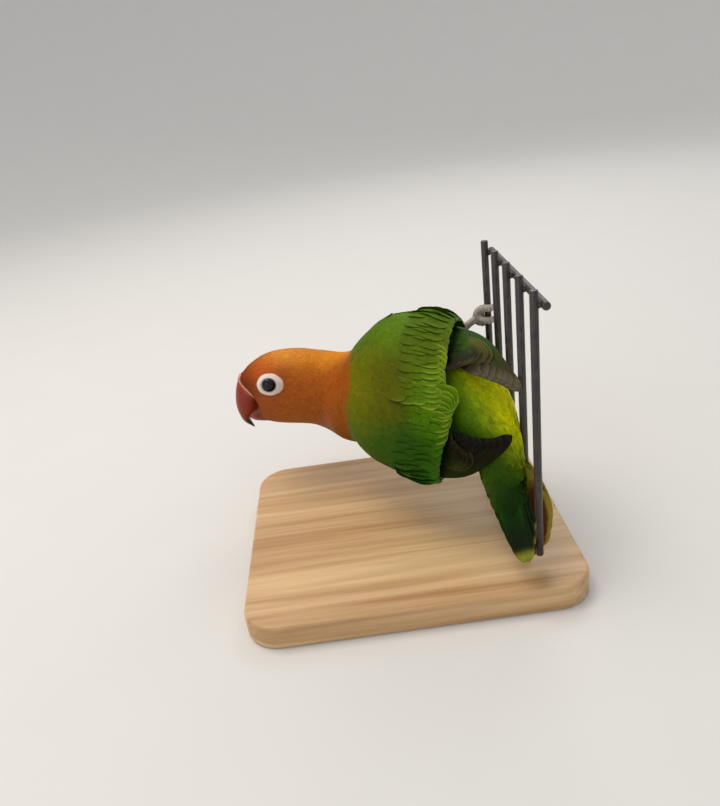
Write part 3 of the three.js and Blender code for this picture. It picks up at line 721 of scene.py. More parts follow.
class SkinSurface:
    """The skin as arrays in millimetres, with a search for the nearest place on it."""

    def __init__(self, piece):
        mesh = piece.data
        mesh.calc_loop_triangles()
        self.points = points_of(mesh)
        self.normals = mesh_rows(mesh.vertices, "normal").astype(float)
        self.triangles = mesh_rows(mesh.loop_triangles, "vertices", kind=np.int32)
        self.tree = BVHTree.FromPolygons(self.points.tolist(), self.triangles.tolist(), all_triangles=True)

    def scatter(self, rng, count):
        """Random places on the skin, by area: points and normals."""
        a, b, c = (self.points[self.triangles[:, k]] for k in range(3))
        area = np.linalg.norm(np.cross(b - a, c - a), axis=1)
        chosen = rng.choice(len(area), count, p=area / area.sum())
        u, v = rng.random(count), rng.random(count)
        flip = u + v > 1
        u[flip], v[flip] = 1 - u[flip], 1 - v[flip]
        weights = np.column_stack([1 - u - v, u, v])[:, :, None]
        corners = self.triangles[chosen]
        return (self.points[corners] * weights).sum(1), unit((self.normals[corners] * weights).sum(1))

    def nearest(self, points):
        """The nearest place on the skin to each point, with the smooth normal of that face."""
        places, normals = np.empty_like(points), np.empty_like(points)
        for k, point in enumerate(points):
            found, _, face, _ = self.tree.find_nearest(Vector(point))
            places[k] = found
            normals[k] = self.normals[self.triangles[face]].mean(0)
        return places, unit(normals)

    def heights(self, places, outward, reach=6, none=-2.0):
        """How far the skin stands out over each place, or none where it isn't within reach."""
        found = []
        for point in places.reshape(-1, 3):
            distance = self.tree.ray_cast(Vector(point + outward * reach), Vector(-outward), 2 * reach)[3]
            found.append(none if distance is None else reach - distance)
        return np.array(found).reshape(places.shape[:-1])


def spread(points, spacing, rng):
    """Indices of points that keep their own spacing from one another, drawn in random order."""
    tree = KDTree(len(points))
    for k, point in enumerate(points):
        tree.insert(point, k)
    tree.balance()
    free = np.ones(len(points), bool)
    kept = []
    for k in rng.permutation(len(points)):
        if free[k]:
            kept.append(k)
            for _, other, _ in tree.find_range(points[k], spacing[k]):
                free[other] = False
    return np.array(kept)


# A feather's outline: share of its length, share of its full half-width, height of its crown.
BODY_VANE = (
    (0, 0.3, 0.3), (0.2, 0.72, 0.8), (0.42, 0.96, 1), (0.62, 1, 1), (0.8, 0.86, 0.8), (0.93, 0.56, 0.5),
    (1, 0.2, 0.2),
)
FACE_VANE = ((0, 0.5, 0.3), (0.35, 1, 1), (0.7, 0.72, 0.8), (1, 0.1, 0.2))
VANE_RIM = 60  # a vane's face meets its underside at more than this angle, in degrees
TUFT_PATCH = 0.003  # width of one feather's patch on the coat's map
RAGGED, BEND = 0.035, 0.06  # how uneven a small feather's tip is and how far it bends sideways, by its length
# The two makes of small feather. crown is by half-width, and the root and tip factors of the tint are painted
# shade: darker at the root, lighter at the tip.
BODY_FEATHER = {
    "outline": BODY_VANE, "columns": (-1, -0.5, 0, 0.5, 1), "crown": 0.06, "thick": 0.03, "painted_shade_root_tip": (0.9, 1.05),
}
FACE_FEATHER = {
    "outline": FACE_VANE, "columns": (-1, 0, 1), "crown": 0.03, "thick": 0.02, "painted_shade_root_tip": (0.97, 1.03),
}


def plumes(stems, half_width, make, rng):
    """Points, faces and own map (across, along) of thin closed vanes of one make.

    stems holds the root, middle and tip of each with their normals, as six arrays of points.
    """
    root, middle, tip, *normals = stems
    columns, crown = make["columns"], make["crown"] * half_width
    share, width, height = (np.array(make["outline"], float)[:, k] for k in range(3))
    count, rows, across = len(root), len(share), len(columns)
    ring = across + 1
    s = share[None, :, None]
    shares = ((1 - s) * (1 - 2 * s), 4 * s * (1 - s), s * (2 * s - 1))
    centre = sum(part[:, None] * w for part, w in zip((root, middle, tip), shares))
    normal = unit(sum(part[:, None] * w for part, w in zip(normals, shares)))
    way = unit(np.gradient(centre, axis=1))
    side = unit(np.cross(way, normal))
    normal = np.cross(side, way)
    length = np.linalg.norm(tip - root, axis=1)
    sideways = rng.normal(0, BEND, count)[:, None] * length[:, None] * share[None] ** 2
    centre = centre + side * sideways[..., None]
    x = np.array([*columns, 0.0])
    lift = np.array([*(1 - np.array(columns) ** 2), 0.0])
    sink = np.array([*np.zeros(across), 1.0])
    fringe = rng.normal(0, RAGGED, (count, rows, ring)) * (share**2)[None, :, None] * length[:, None, None]
    spread_out = x[None, None] * width[None, :, None] * half_width[:, None, None]
    rise = lift[None, None] * height[None, :, None] * crown[:, None, None] - sink[None, None] * make["thick"]
    points = centre[:, :, None] + side[:, :, None] * spread_out[..., None]
    points = points + normal[:, :, None] * rise[..., None] + way[:, :, None] * fringe[..., None]
    fan = np.arange(1, ring - 1)
    last = (rows - 1) * ring
    first_cap = np.column_stack([0 * fan, fan + 1, fan])
    last_cap = np.column_stack([last + 0 * fan, last + fan, last + fan + 1])
    pattern = np.vstack([walls(rows, ring), first_cap, last_cap])
    pattern = turned_outwards(points[0].reshape(-1, 3), pattern)
    faces = (pattern[None] + (np.arange(count) * rows * ring)[:, None, None]).reshape(-1, 3)
    own = np.stack(np.broadcast_arrays(0.5 + 0.5 * x[None], share[:, None]), -1)
    own = np.broadcast_to(own, (count, rows, ring, 2))
    return points.reshape(-1, 3), faces, own.reshape(-1, 2)


def feather_finish(name, barb=0.25, gloss=0.5):
    """Keratin vanes: satin, with fine barbs that run slanting from the shaft to the edges.

    The real barbs stand about 0.2 mm apart, and are drawn as wide as barb, in millimetres, to show.
    """
    material, tree, place_at = new_material(name)
    inputs = {"Scale": 1000 / (barb * 3), "Detail": 3, "Roughness": 0.6}
    speckle = add_node(tree, "TexNoise", inputs, {"Vector": place_at})
    colour = varied_tint(tree, speckle, (0.3, 0.7), (0.86, 1.12))
    vane = add_node(tree, "UVMap", uv_map="Vane")
    split = add_node(tree, "SeparateXYZ", links={"Vector": vane})
    from_shaft = add_node(tree, "Math", {1: 0.5}, {0: split.outputs["X"]}, operation="SUBTRACT")
    outward = add_node(tree, "Math", links={0: from_shaft}, operation="ABSOLUTE")
    slant = add_node(tree, "Math", links={0: split.outputs["Y"], 1: outward}, operation="SUBTRACT")
    phase = add_node(tree, "Math", {1: 2 * math.pi * 5 / barb}, {0: slant}, operation="MULTIPLY")
    ripple = add_node(tree, "Math", links={0: phase}, operation="SINE")
    inputs = {"Roughness": gloss, "Specular IOR Level": 0.05}
    return close_material(material, inputs, colour, (ripple, 0.25, 0.0001))


# By distance behind the bill's base: feather length, half-width, spacing and how far the tip stands off.
COAT_SIZES = (
    (-4, 1.3, 0.25, 0.33, 0.07),
    (4, 1.8, 0.29, 0.36, 0.08),
    (12, 2.4, 0.37, 0.44, 0.08),
    (24, 3.4, 0.60, 0.61, 0.11),
    (36, 4.6, 1.00, 0.83, 0.14),
    (50, 6.2, 1.50, 1.00, 0.16),
    (70, 7.2, 1.80, 1.10, 0.17),
    (90, 7.6, 1.80, 1.15, 0.18),
    (110, 6.6, 1.50, 1.10, 0.22),
)
CANDIDATES = 420000
COVERT_ROOM = 9  # nearer than this to a wing coverts' end, only the large coverts grow
BARE_EDGE = 4  # the small feathers' tips keep this far from that end
# Shares taken off those sizes on the legs, on the back and on the rump.
ON_LEGS = {"length": 0.55, "width": 0.45, "spacing": 0.35}
ON_BACK, ON_RUMP, SHORTER_RUMP = 0.14, 0.16, 0.2
# The coat's zones: ends of face, hood and neck by distance behind the bill's base, start of the rump behind
# the neck base, share of the way down a leg where its coat starts, and where skin that looks back gets bare.
ZONES = {"face": 11, "hood": 24, "neck": 46, "rump": 45, "leg": 0.45, "seat": 60}
HEAD_REACH = 22  # the head's radius
CHEEK = 7  # the eye rings lie farther to the side than this
# How far ahead the coat reaches between bill and cere, by height on the head.
FACE_LINE = ((-18, -9.5, -7.4, -5.6, 3.5, 4), (7.7, 7.7, 7.2, 6.4, 13.6, 14.4))


def coat_zones(points):
    """Names of the coat's pieces and a true-or-false array for each."""
    far = along_spine(points)[0]
    back, _, up = local(TORSO, points)
    hood = far < ZONES["hood"]
    neck = ~hood & (far < ZONES["neck"])
    legs = leg_share(points) > ZONES["leg"]
    trunk = ~hood & ~neck & ~legs
    dorsal = trunk & (up > 0)
    return {
        "coat_face": hood & (far < ZONES["face"]),
        "coat_crown": hood & (far >= ZONES["face"]),
        "coat_neck": neck,
        "coat_back": dorsal & (back < ZONES["rump"]),
        "coat_rump": dorsal & (back >= ZONES["rump"]),
        "coat_belly": trunk & (up <= 0),
        "coat_legs": ~hood & ~neck & legs,
    }


def leg_share(points):
    """How far down the nearer leg points are, and 0 beside both."""
    return np.max([beside_leg(foot, points)[0] for foot in FEET.values()], axis=0)


def wing_room(points):
    """How much of a wing's coverts lies behind points on them, and far more for all other points."""
    back, side, up = local(TORSO, points)
    room = np.full(len(points), 99.0)
    for wing in WINGS.values():
        out = (side - BARREL) * wing["sign"]
        degrees = np.degrees(np.arctan2(out, up))
        radius = np.hypot(out, up)
        cover = np.linalg.norm(cover_point(wing, back, degrees) - place(TORSO, back, BARREL, 0), axis=1)
        on_wing = (degrees > 0) & (degrees < 104) & (back > 8) & (radius > cover - 2.4)
        room = np.where(on_wing, graph(wing["covert_end"], degrees) - back, room)
    return room


def from_eye_ring(points):
    """Distance outside the nearer eye's ring, less than nothing within it."""
    back, side, up = local(HEAD, points)
    away = np.hypot(-back - EYE["ahead"], (up - EYE["up"]) / EYE["flatness"])
    beside = (np.linalg.norm(points - HEAD["origin"], axis=1) < HEAD_REACH) & (np.abs(side) > CHEEK)
    return np.where(beside, away - (EYE["visible"] + EYE["ring"] - EYE["tuck"]), 50)


def bare_places(points):
    """True where no feathers grow: round the eyes, and in front of the face."""
    back, _, up = local(HEAD, points)
    near_head = np.linalg.norm(points - HEAD["origin"], axis=1) < HEAD_REACH
    face = near_head & (-back > np.interp(up, *FACE_LINE))
    return (from_eye_ring(points) < 0) | face


def coat_sizes(points, normals, closeness):
    """Distance along the spine, angle round it, spacing, length and fineness at points, and where they grow."""
    far, angle, way = along_spine(points)
    back, _, up = local(TORSO, points)
    room, leg = wing_room(points), leg_share(points)
    on_leg = smoothstep(ZONES["leg"], 0.95, leg)
    dorsal = smoothstep(-4, 4, up) * smoothstep(20, 30, far)
    rump = smoothstep(ZONES["rump"] - 1, ZONES["rump"] + 5, back)
    finer = 1 - dorsal * (ON_BACK + ON_RUMP * rump)
    spacing = graph(COAT_SIZES, far, 3) * closeness * (1 - ON_LEGS["spacing"] * on_leg) * finer
    length = np.minimum(graph(COAT_SIZES, far), room - BARE_EDGE) * (1 - ON_LEGS["length"] * on_leg)
    length = length * (1 - SHORTER_RUMP * dorsal * rump)
    seat = (dot(normals, way) > 0.55) & (far > ZONES["seat"]) & (leg < 0.2)
    free = ~bare_places(points) & (length > 1) & (room > COVERT_ROOM) & ~seat
    return far, angle, spacing, np.minimum(length, 0.7 + from_eye_ring(points)), finer, free


class LOVEBIRD_OT_coat(bpy.types.Operator):
    """Grows the small feathers of head and body, as thin closed vanes that overlap along their lie"""

    bl_idname = "lovebird.coat"
    bl_label = "Coat"

    def execute(self, context):
        rng = seeded()
        skin = SkinSurface(bpy.data.objects["skin"])
        points, normals = skin.scatter(rng, CANDIDATES)
        *sizes, free = coat_sizes(points, normals, context.scene.lovebird_plumage.closeness)
        points, normals, far, angle, spacing, length, finer = (part[free] for part in (points, normals, *sizes))
        kept = spread(points, spacing, rng)
        points, normals, far, angle, length, finer = (
            part[kept] for part in (points, normals, far, angle, length, finer)
        )
        half, _, stand = (graph(COAT_SIZES, far, k) for k in range(2, 5))
        half = half * (1 - ON_LEGS["width"] * smoothstep(ZONES["leg"], 0.95, leg_share(points))) * finer
        length = length * rng.normal(1, 0.08, len(far))
        stems, free = laid_stems(skin, points, normals, length, stand, rng)
        points, far, angle, half = (part[free] for part in (points, far, angle, half))
        tint = feather_tint(points, stems[2], rng)
        places = np.column_stack([angle / (2 * math.pi) + 0.5, far])
        leg_places = sum(
            np.where(share > 0, 1, 0)[:, None] * np.column_stack([turn + 8 * k, along])
            for k, (share, turn, along, _) in enumerate(beside_leg(foot, points) for foot in FEET.values())
        )
        finish = feather_finish("body_feathers")
        for name, zone in coat_zones(points).items():
            make = FACE_FEATHER if name in ("coat_face", "coat_crown") else BODY_FEATHER
            mesh = plumes([part[zone] for part in stems], half[zone], make, rng)
            roots = leg_places if name == "coat_legs" else places
            coat_piece(name, mesh, tint[zone], roots[zone], finish, make["painted_shade_root_tip"])
        return {"FINISHED"}


def laid_stems(skin, points, normals, length, stand, rng):
    """Root, middle and tip of each feather with their normals: rooted in the skin and laid along it."""
    way = lie_at(points, normals)
    across = np.cross(normals, way)
    way = unit(way + across * rng.normal(0, 0.12, len(points))[:, None])

    def laid(share, height):
        aim = points + way * (length * share)[:, None]
        found, found_normals = skin.nearest(aim)
        astray = np.linalg.norm(found - aim, axis=1) > 0.33 * length * share
        astray |= dot(found_normals, normals) < 0.3
        return found + found_normals * height[:, None], found_normals, astray

    middle, middle_normal, lost = laid(0.5, 0.62 * stand)
    tip, tip_normal, overhangs = laid(1.0, stand)
    # A tip that would lie on another part of the skin goes straight on from its middle instead.
    onward = middle + way * (0.3 * length)[:, None] - middle_normal * (0.05 * length)[:, None]
    tip[overhangs] = onward[overhangs]
    tip_normal[overhangs] = middle_normal[overhangs]
    root = points - normals * 0.12
    kept = ~lost
    return [part[kept] for part in (root, middle, tip, normals, middle_normal, tip_normal)], kept


def feather_tint(points, tips, rng):
    """Each feather's own colour: the markings between its root and tip, a little varied."""
    colour = markings(0.5 * (points + tips))
    value = rng.normal(1, 0.07, len(points))[:, None]
    warmth = rng.normal(0, 0.04, len(points))
    return np.clip(colour * value * np.column_stack([1 + warmth, np.ones(len(warmth)), 1 - warmth]), 0, 1)


def coat_piece(name, mesh, tint, places, finish, painted_shade_along):
    """One piece of the coat. Its OFBake map has each feather as a small patch at its root's place."""
    points, faces, own = mesh
    each = len(points) // len(tint)
    # Painted shade: each vane is darker at its root and lighter at its tip.
    shade = painted_shade_along[0] + (painted_shade_along[1] - painted_shade_along[0]) * own[:, 1]
    edge = 1 + 0.1 * np.abs(own[:, 0] - 0.5)
    tints = np.clip(np.repeat(tint, each, axis=0) * (shade * edge)[:, None], 0, 1)
    low, high = places.min(0), places.max(0)
    roots = 0.01 + 0.98 * (places - low) / np.maximum(high - low, 1e-6)
    patches = np.repeat(roots, each, axis=0) + TUFT_PATCH * (own - 0.5)
    piece = mesh_piece(name, points, faces, finish, tints, {"Vane": own, "OFBake": patches}, VANE_RIM)
    hand_over(piece, "green_feathers")


# Large feathers of wings and tail

BLADE_COLUMNS = (-1, -0.78, -0.5, -0.25, -0.06, 0, 0.06, 0.25, 0.5, 0.78, 1)
# A large feather's width along it: share of its length, share of its full width.
QUILL_OUTLINE = (
    (0, 0.35), (0.15, 0.72), (0.4, 0.97), (0.65, 1), (0.82, 0.9), (0.92, 0.7), (0.97, 0.46), (1, 0.1),
)


def blade(line, normals, left, right, thickness, shaft, hollow):
    """A closed thin vane along a line: rings for loft and its own map (across, along).

    left and right are the half-widths on either side of the shaft, which stands up by shaft, and hollow is
    how far the edges turn down.
    """
    line, rows = np.asarray(line, float), len(line)
    way = unit(np.gradient(line, axis=0))
    side = unit(np.cross(way, normals))
    normal = np.cross(side, way)
    x = np.array(BLADE_COLUMNS)
    reach = np.where(x < 0, left[:, None] * x, right[:, None] * x)
    rib = np.where(np.abs(x) < 0.1, 1.0, 0.0)
    taper = np.linspace(1, 0.15, rows)[:, None]
    rise = shaft * rib * taper - hollow * np.abs(x) ** 1.6
    top = line[:, None] + side[:, None] * reach[..., None] + normal[:, None] * rise[..., None]
    edge = np.where(np.abs(x) > 0.99, 0.3, 1.0)
    bottom = top - normal[:, None] * (thickness * edge[None] + shaft * rib * taper)[..., None]
    rings = np.concatenate([top, bottom[:, ::-1]], axis=1)
    across = 0.5 + 0.5 * np.concatenate([x, x[::-1]])
    along = np.linspace(0, 1, rows)
    own = np.stack(np.broadcast_arrays(across[None], along[:, None]), -1).reshape(-1, 2)
    return rings, np.vstack([own, [[0.5, 0.0]], [[0.5, 1.0]]])


def blades_piece(name, blades, finish, slot, *nodes):
    """Many blades, each given with its tint, as one mesh. Each has its own strip on the bake's map."""
    count = len(blades)
    columns = max(1, math.ceil(math.sqrt(count)))
    lines = math.ceil(count / columns)
    parts, vanes, strips = [], [], []
    for k, (rings, own, _) in enumerate(blades):
        parts.append(loft(rings))
        vanes.append(own)
        corner = np.array([k % columns, k // columns])
        half = len(BLADE_COLUMNS)
        under = np.zeros(len(own), bool)
        under[: len(own) - 2] = (np.arange(len(own) - 2) % (2 * half)) >= half
        u = np.where(under, 0.98 - 0.46 * own[:, 0], 0.02 + 0.46 * own[:, 0])
        strips.append((corner + np.column_stack([u, 0.03 + 0.94 * own[:, 1]])) / (columns, lines))
    points, faces = joined(parts)
    maps = {"Vane": np.vstack(vanes), "OFBake": np.vstack(strips)}
    tints = np.clip(np.vstack([tint for _, _, tint in blades]), 0, 1)
    hand_over(mesh_piece(name, points, faces, finish, tints, maps, VANE_RIM), slot, *nodes)


# Wings

BARREL = 3.2  # the middle of the trunk lies this far to the bird's right
# Each wing: reach of the coverts from the trunk's middle by distance behind the neck base, edges of the folded
# quills (back, side, up), end of the coverts by angle from the back, and end of its copy for the skin.
WINGS = {
    "right": {
        "sign": 1,
        "reach": (
            (6, 15), (9, 20), (12.5, 24), (17, 26.6), (25, 28), (34, 27.9), (43.7, 25), (50, 22.6), (58, 19),
        ),
        "inner": (
            (30, 8, 15.8), (41, 9.4, 15.2), (49.5, 10.3, 13.9),
            (57.6, 9, 12.9), (65, 7.6, 11.6), (75.5, 7.7, 11.1),
        ),
        "outer": ((30, 28, -2), (38, 28.5, -0.5), (48, 26, 2.2), (58, 21.4, 5.6), (67, 14.4, 8.6), (76, 8, 11)),
        "covert_end": ((3, 53), (45, 49), (75, 44.5), (99, 41)),
        "cut": 50.5,
    },
    "left": {
        "sign": -1,
        "reach": (
            (4, 15.5), (8, 19), (13, 22.4), (18, 24.8), (24, 26.6),
            (31, 27.4), (40, 27.5), (46, 26.6), (52, 24.9), (58, 22),
        ),
        "inner": (
            (30, -1, 15.9), (41, -1, 15.2), (49.5, -2.4, 14.2),
            (57.6, -3.6, 13.4), (66, -3.6, 12), (75.5, -4, 10.8),
        ),
        "outer": (
            (30, -23.6, -2), (40, -24.4, -0.5), (50, -22.8, 2.4),
            (60, -19, 5.4), (69, -11.8, 8), (76, -4.8, 10.4),
        ),
        "covert_end": ((3, 57), (45, 54), (75, 49), (99, 44)),
        "cut": 53.5,
    },
}
CROWN = ((-2, 15), (10, 17.4), (20, 18.2), (30, 18.3), (40, 17.3), (50, 15.2), (58, 13))
KEEL = 13  # reach of the wing's outside below the trunk's middle
PRIMARIES = 9
SECONDARIES = 8
QUILL_SINK = 3.4  # how much deeper the innermost quills' roots lie, under the coverts
QUILL_STACK = 3.7  # height from the outermost quill to the innermost
# Quills: the longest one's tip behind the neck base, which one that is, how much sooner each next one ends,
# the outermost tip's place across the fold, how far in each next one leans, half-width, its growth, narrow web.
PRIMARY = {
    "tip": 76.3, "longest": 1.4, "fall": 2.05, "loose": 0.5, "across": 0.76, "lean": 0.0625,
    "half": 3.2, "wider": 0.1, "web": 0.62,
}
SECONDARY = {
    "tip": 63.5, "longest": 0, "fall": 1.05, "loose": 0.6, "across": 0.66, "lean": 0.06,
    "half": 4.4, "wider": 0.08, "web": 0.85,
}
# The right shoulder's long feathers, which lie over the left wing: tips behind the neck base, and angles.
SCAPULARS = {
    "count": 4, "first": 41.6, "step": 3.7, "spread": 2.1, "turn": 9, "half": 3.8, "lift": 0.4, "sink": 3.4,
}
# Coverts: radius that they are rounded to, slope that lays each edge over the next, tiers, step between them,
# number in the first tier, angles, and size, with how much smaller each next tier is.
COVERT = {
    "round": 21, "tilt": 0.045, "tiers": 3, "step": 4.4, "first": 17, "from": 4, "over": 92,
    "length": 12, "shorter": 1.6, "half": 4.2, "narrower": 0.5,
}
BLACK, OLIVE = "#060703", "#5D5824"
QUILL_GREEN, QUILL_SHAFT, QUILL_PALE_TIP = "#2A4608", "#1E1810", "#6A6150"
QUILL_BROWN_LEFT_SHADED = {1: "#2A2518", -1: "#0E0C07"}  # by side; the left wing's darker brown is painted shade
COVERT_RIM = "#9CA038"


def cover_point(wing, back, degrees, lift=0.0):
    """A place on the outside of the wing's coverts, by angle from the back down its side."""
    angle = np.radians(degrees)
    rise = np.where(np.cos(angle) > 0, graph(CROWN, back), KEEL)
    radius = lift + 1 / np.hypot(np.sin(angle) / graph(wing["reach"], back), np.cos(angle) / rise)
    return place(TORSO, back, BARREL + wing["sign"] * np.sin(angle) * radius, np.cos(angle) * radius)


def cover_normal(wing, back, degrees):
    """The way out of the wing there."""
    along = cover_point(wing, back + 1, degrees) - cover_point(wing, back - 1, degrees)
    across = cover_point(wing, back, degrees + 3) - cover_point(wing, back, degrees - 3)
    return unit(np.cross(across, along) * wing["sign"])


def fold_point(wing, back, q, lift):
    """A place on the folded quills: q runs from their inner to their outer edge, lift is the height above."""
    inner, outer = (
        np.column_stack([graph(wing[edge], back), graph(wing[edge], back, 2)]) for edge in ("inner", "outer")
    )
    chord = outer - inner
    normal = unit(np.column_stack([-chord[:, 1], chord[:, 0]]) * wing["sign"])
    bulge = 0.34 * np.linalg.norm(chord, axis=1) * q * (1 - q)
    point = inner + chord * q[:, None] + normal * (bulge + lift)[:, None]
    return place(TORSO, back, point[:, 0], point[:, 1])


def flight_feather(wing, order, primary, rng, rows=34):
    """One quill feather of the folded wing, from the outermost (order 0) to the innermost, with its tint."""
    u = order / (PRIMARIES + SECONDARIES - 1)
    s = np.linspace(0, 1, rows)
    kind, rank = (PRIMARY, order) if primary else (SECONDARY, order - PRIMARIES)
    tip = kind["tip"] - kind["fall"] * abs(rank - kind["longest"]) - rng.uniform(0, kind["loose"])
    back = (41 - 3 * u) * (1 - s) + tip * s
    across_tip = kind["across"] - kind["lean"] * rank
    q = (0.88 - 0.68 * u) * (1 - s) + across_tip * s + 0.02 * np.sin(s * math.pi) * rng.normal()
    cover_end = float(graph(wing["covert_end"], 30))
    under_coverts = 1 - smoothstep(cover_end - 5, cover_end + 5, back)
    lift = (u - 0.5) * QUILL_STACK * (1 - 0.4 * s) - QUILL_SINK * u * under_coverts
    line = fold_point(wing, back, q, lift)
    normals = unit(fold_point(wing, back, q, lift + 1) - line)
    width = (kind["half"] + kind["wider"] * rank) * graph(QUILL_OUTLINE, s)
    webs = (width * kind["web"], width)[:: -wing["sign"]]
    rings, own = blade(line, normals, *webs, 0.16, 0.16, 0.35)
    return rings, own, quill_tint(own, wing["sign"], primary, rng)


def quill_tint(own, sign, primary, rng):
    """Blackish quills, green on the outer web near the root. The inner ones have a pale olive edge. On the left
    wing the brown is darker and the green and olive edge are weaker, as painted shade.
    """
    across, along = own[:, 0], own[:, 1]
    outer = 1 - across if sign > 0 else across
    brown = np.array(linear(QUILL_BROWN_LEFT_SHADED[sign])) * (1 if primary else 0.6)
    tint = mixed(np.array(linear(BLACK)), brown, smoothstep(0.6, 1.0, along))
    # Only the right wing's primaries get paler tips.
    if primary and sign > 0:
        tint = mixed(tint, QUILL_PALE_TIP, smoothstep(0.84, 0.98, along) * 0.6)
    start, end = (0.45, 0.8) if primary else (0.62, 0.97)
    # Painted shade: the left wing keeps only a quarter of the green on its outer web.
    greenness = smoothstep(0.3, 0.7, outer) * (1 - smoothstep(start, end, along)) * (1 if sign > 0 else 0.25)
    tint = mixed(tint, QUILL_GREEN, greenness)
    rim = smoothstep(0.84, 0.96, outer) * smoothstep(0.35, 0.6, along) + smoothstep(0.955, 0.985, along)
    # Painted shade: the left wing's pale olive edge is weakened to 0.3 of its strength.
    strength = (0.3 if primary else rng.uniform(0.5, 0.85)) * (1 if sign > 0 else 0.3)
    tint = mixed(tint, OLIVE, np.clip(rim, 0, 1) * strength)
    return mixed(tint, QUILL_SHAFT, 0.5 * np.exp(-(((across - 0.5) / 0.04) ** 2)))


def covert_feather(wing, degrees, end, length, half, lift, sink=1.2, turn=0.0, rows=16):
    """A covert on the wing, its tip at end behind the neck base and at degrees, its root turned by turn."""
    s = np.linspace(0, 1, rows)
    back = end - length * (1 - s)
    at = degrees + turn * (1 - s)
    line = cover_point(wing, back, at, lift - 0.5 * s**3 - sink * (1 - s) ** 2)
    inward = unit(cover_point(wing, back, at - 1) - cover_point(wing, back, at + 1))
    normals = unit(cover_normal(wing, back, at) + COVERT["tilt"] * inward)
    width = half * graph(QUILL_OUTLINE, s)
    return blade(line, normals, width, width, 0.1, 0.03, half**2 / (2 * COVERT["round"]))


def covert_tint(rings, own, rng, pale=0.0):
    """A covert in the markings' green: darker at its root as painted shade, paler on its fringe, with a rim as
    pale as asked.
    """
    across, along = np.abs(own[:, 0] - 0.5), own[:, 1]
    tint = markings(with_ends(rings)) * rng.normal(1, 0.06)
    fringe = np.clip(smoothstep(0.9, 1.0, along) + smoothstep(0.36, 0.5, across), 0, 1)
    # Painted shade: darker towards the root, where other feathers cover it.
    tint = tint * (0.82 + 0.22 * along)[:, None] * (1 + 0.1 * fringe)[:, None]
    rim = np.clip(smoothstep(0.93, 0.98, along) + smoothstep(0.4, 0.47, across), 0, 1)
    return mixed(tint, COVERT_RIM, rim * smoothstep(0.4, 0.8, along) * pale)


def coverts(wing, rng):
    """The tiers of coverts of one wing, and on the right one the shoulder's long feathers."""
    for tier in range(COVERT["tiers"]):
        number = COVERT["first"] - 2 * tier
        length, half = COVERT["length"] - COVERT["shorter"] * tier, COVERT["half"] - COVERT["narrower"] * tier
        for k in range(number):
            degrees = COVERT["from"] + (k + 0.15 * rng.normal()) / (number - 1) * COVERT["over"]
            end = float(graph(wing["covert_end"], degrees)) + 0.4 - COVERT["step"] * tier
            end += rng.uniform(-0.25, 0.25)
            rings, own = covert_feather(wing, degrees, end, length, half, 0.05 + 0.1 * tier)
            yield rings, own, covert_tint(rings, own, rng, 0.5 if tier == 0 and degrees < 40 else 0.0)
    for k in range(SCAPULARS["count"] if wing["sign"] > 0 else 0):
        end = SCAPULARS["first"] + SCAPULARS["step"] * k
        degrees = -1 - SCAPULARS["spread"] * k + 0.8 * rng.normal()
        turn, lift = SCAPULARS["turn"] + 2 * rng.normal(), SCAPULARS["lift"] + 0.05 * k
        rings, own = covert_feather(
            wing, degrees, end, COVERT["length"], SCAPULARS["half"], lift, SCAPULARS["sink"], turn
        )
        yield rings, own, covert_tint(rings, own, rng, 0.2 + 0.16 * k)


class LOVEBIRD_OT_wings(bpy.types.Operator):
    """Lays the folded flight feathers of both wings and the tiers of coverts over their roots"""

    bl_idname = "lovebird.wings"
    bl_label = "Wings"

    def execute(self, context):
        rng = seeded(1)
        finish = feather_finish("flight_feathers", barb=0.4, gloss=0.42)
        soft = feather_finish("wing_coverts", barb=0.35, gloss=0.5)
        for name, wing in WINGS.items():
            orders = range(PRIMARIES + SECONDARIES)
            quills = [flight_feather(wing, order, order < PRIMARIES, rng) for order in orders]
            blades_piece(f"flight_{name}", quills, finish, "wing_feathers", f"wing_{name}")
            blades_piece(f"coverts_{name}", list(coverts(wing, rng)), soft, "wing_feathers")
        return {"FINISHED"}


# Tail

TAIL_PAIRS = (29, 25.6, 21.4, 17, 13, 9.4)  # length past the tail's root, middle pair first
# The feathers that are pushed through the wires: their shared root, then bends and tips, and their facing.
THROUGH_ROOT = (32.3, -19.4, 41.8)
THROUGH_BENDS = ((40.2, -28, 27.5), (40.6, -28, 29.5), (40.8, -28, 31.5))
THROUGH_TIPS = ((39.7, -32, 13.1), (40.3, -32.4, 17), (40.6, -32.8, 21))
THROUGH_FACING = (-0.15, -0.9, 0.3)
TAIL_GREEN, TAIL_BRIGHT, TAIL_BLACK, TAIL_PALE = "#092A02", "#134002", "#12180A", "#7E8027"
TAIL_YELLOW, TAIL_BROWN = "#9C882E", "#653B18"
# Rows of coverts over and under the tail's root: start behind that root, length, rise over its middle.
COVERTS_ABOVE = ((-8, 14, 4.3), (-5, 15, 3.9), (-2, 16, 3.4), (2, 16, 2.9))
COVERTS_BELOW = ((-7, 14, 4.6), (-2, 14, 3.8))


def bow(start, bend, tip, s):
    """Points at shares s of a curve from start to tip that is drawn towards bend."""
    s = s[:, None]
    return (1 - s) ** 2 * np.asarray(start) + 2 * s * (1 - s) * np.asarray(bend) + s**2 * np.asarray(tip)


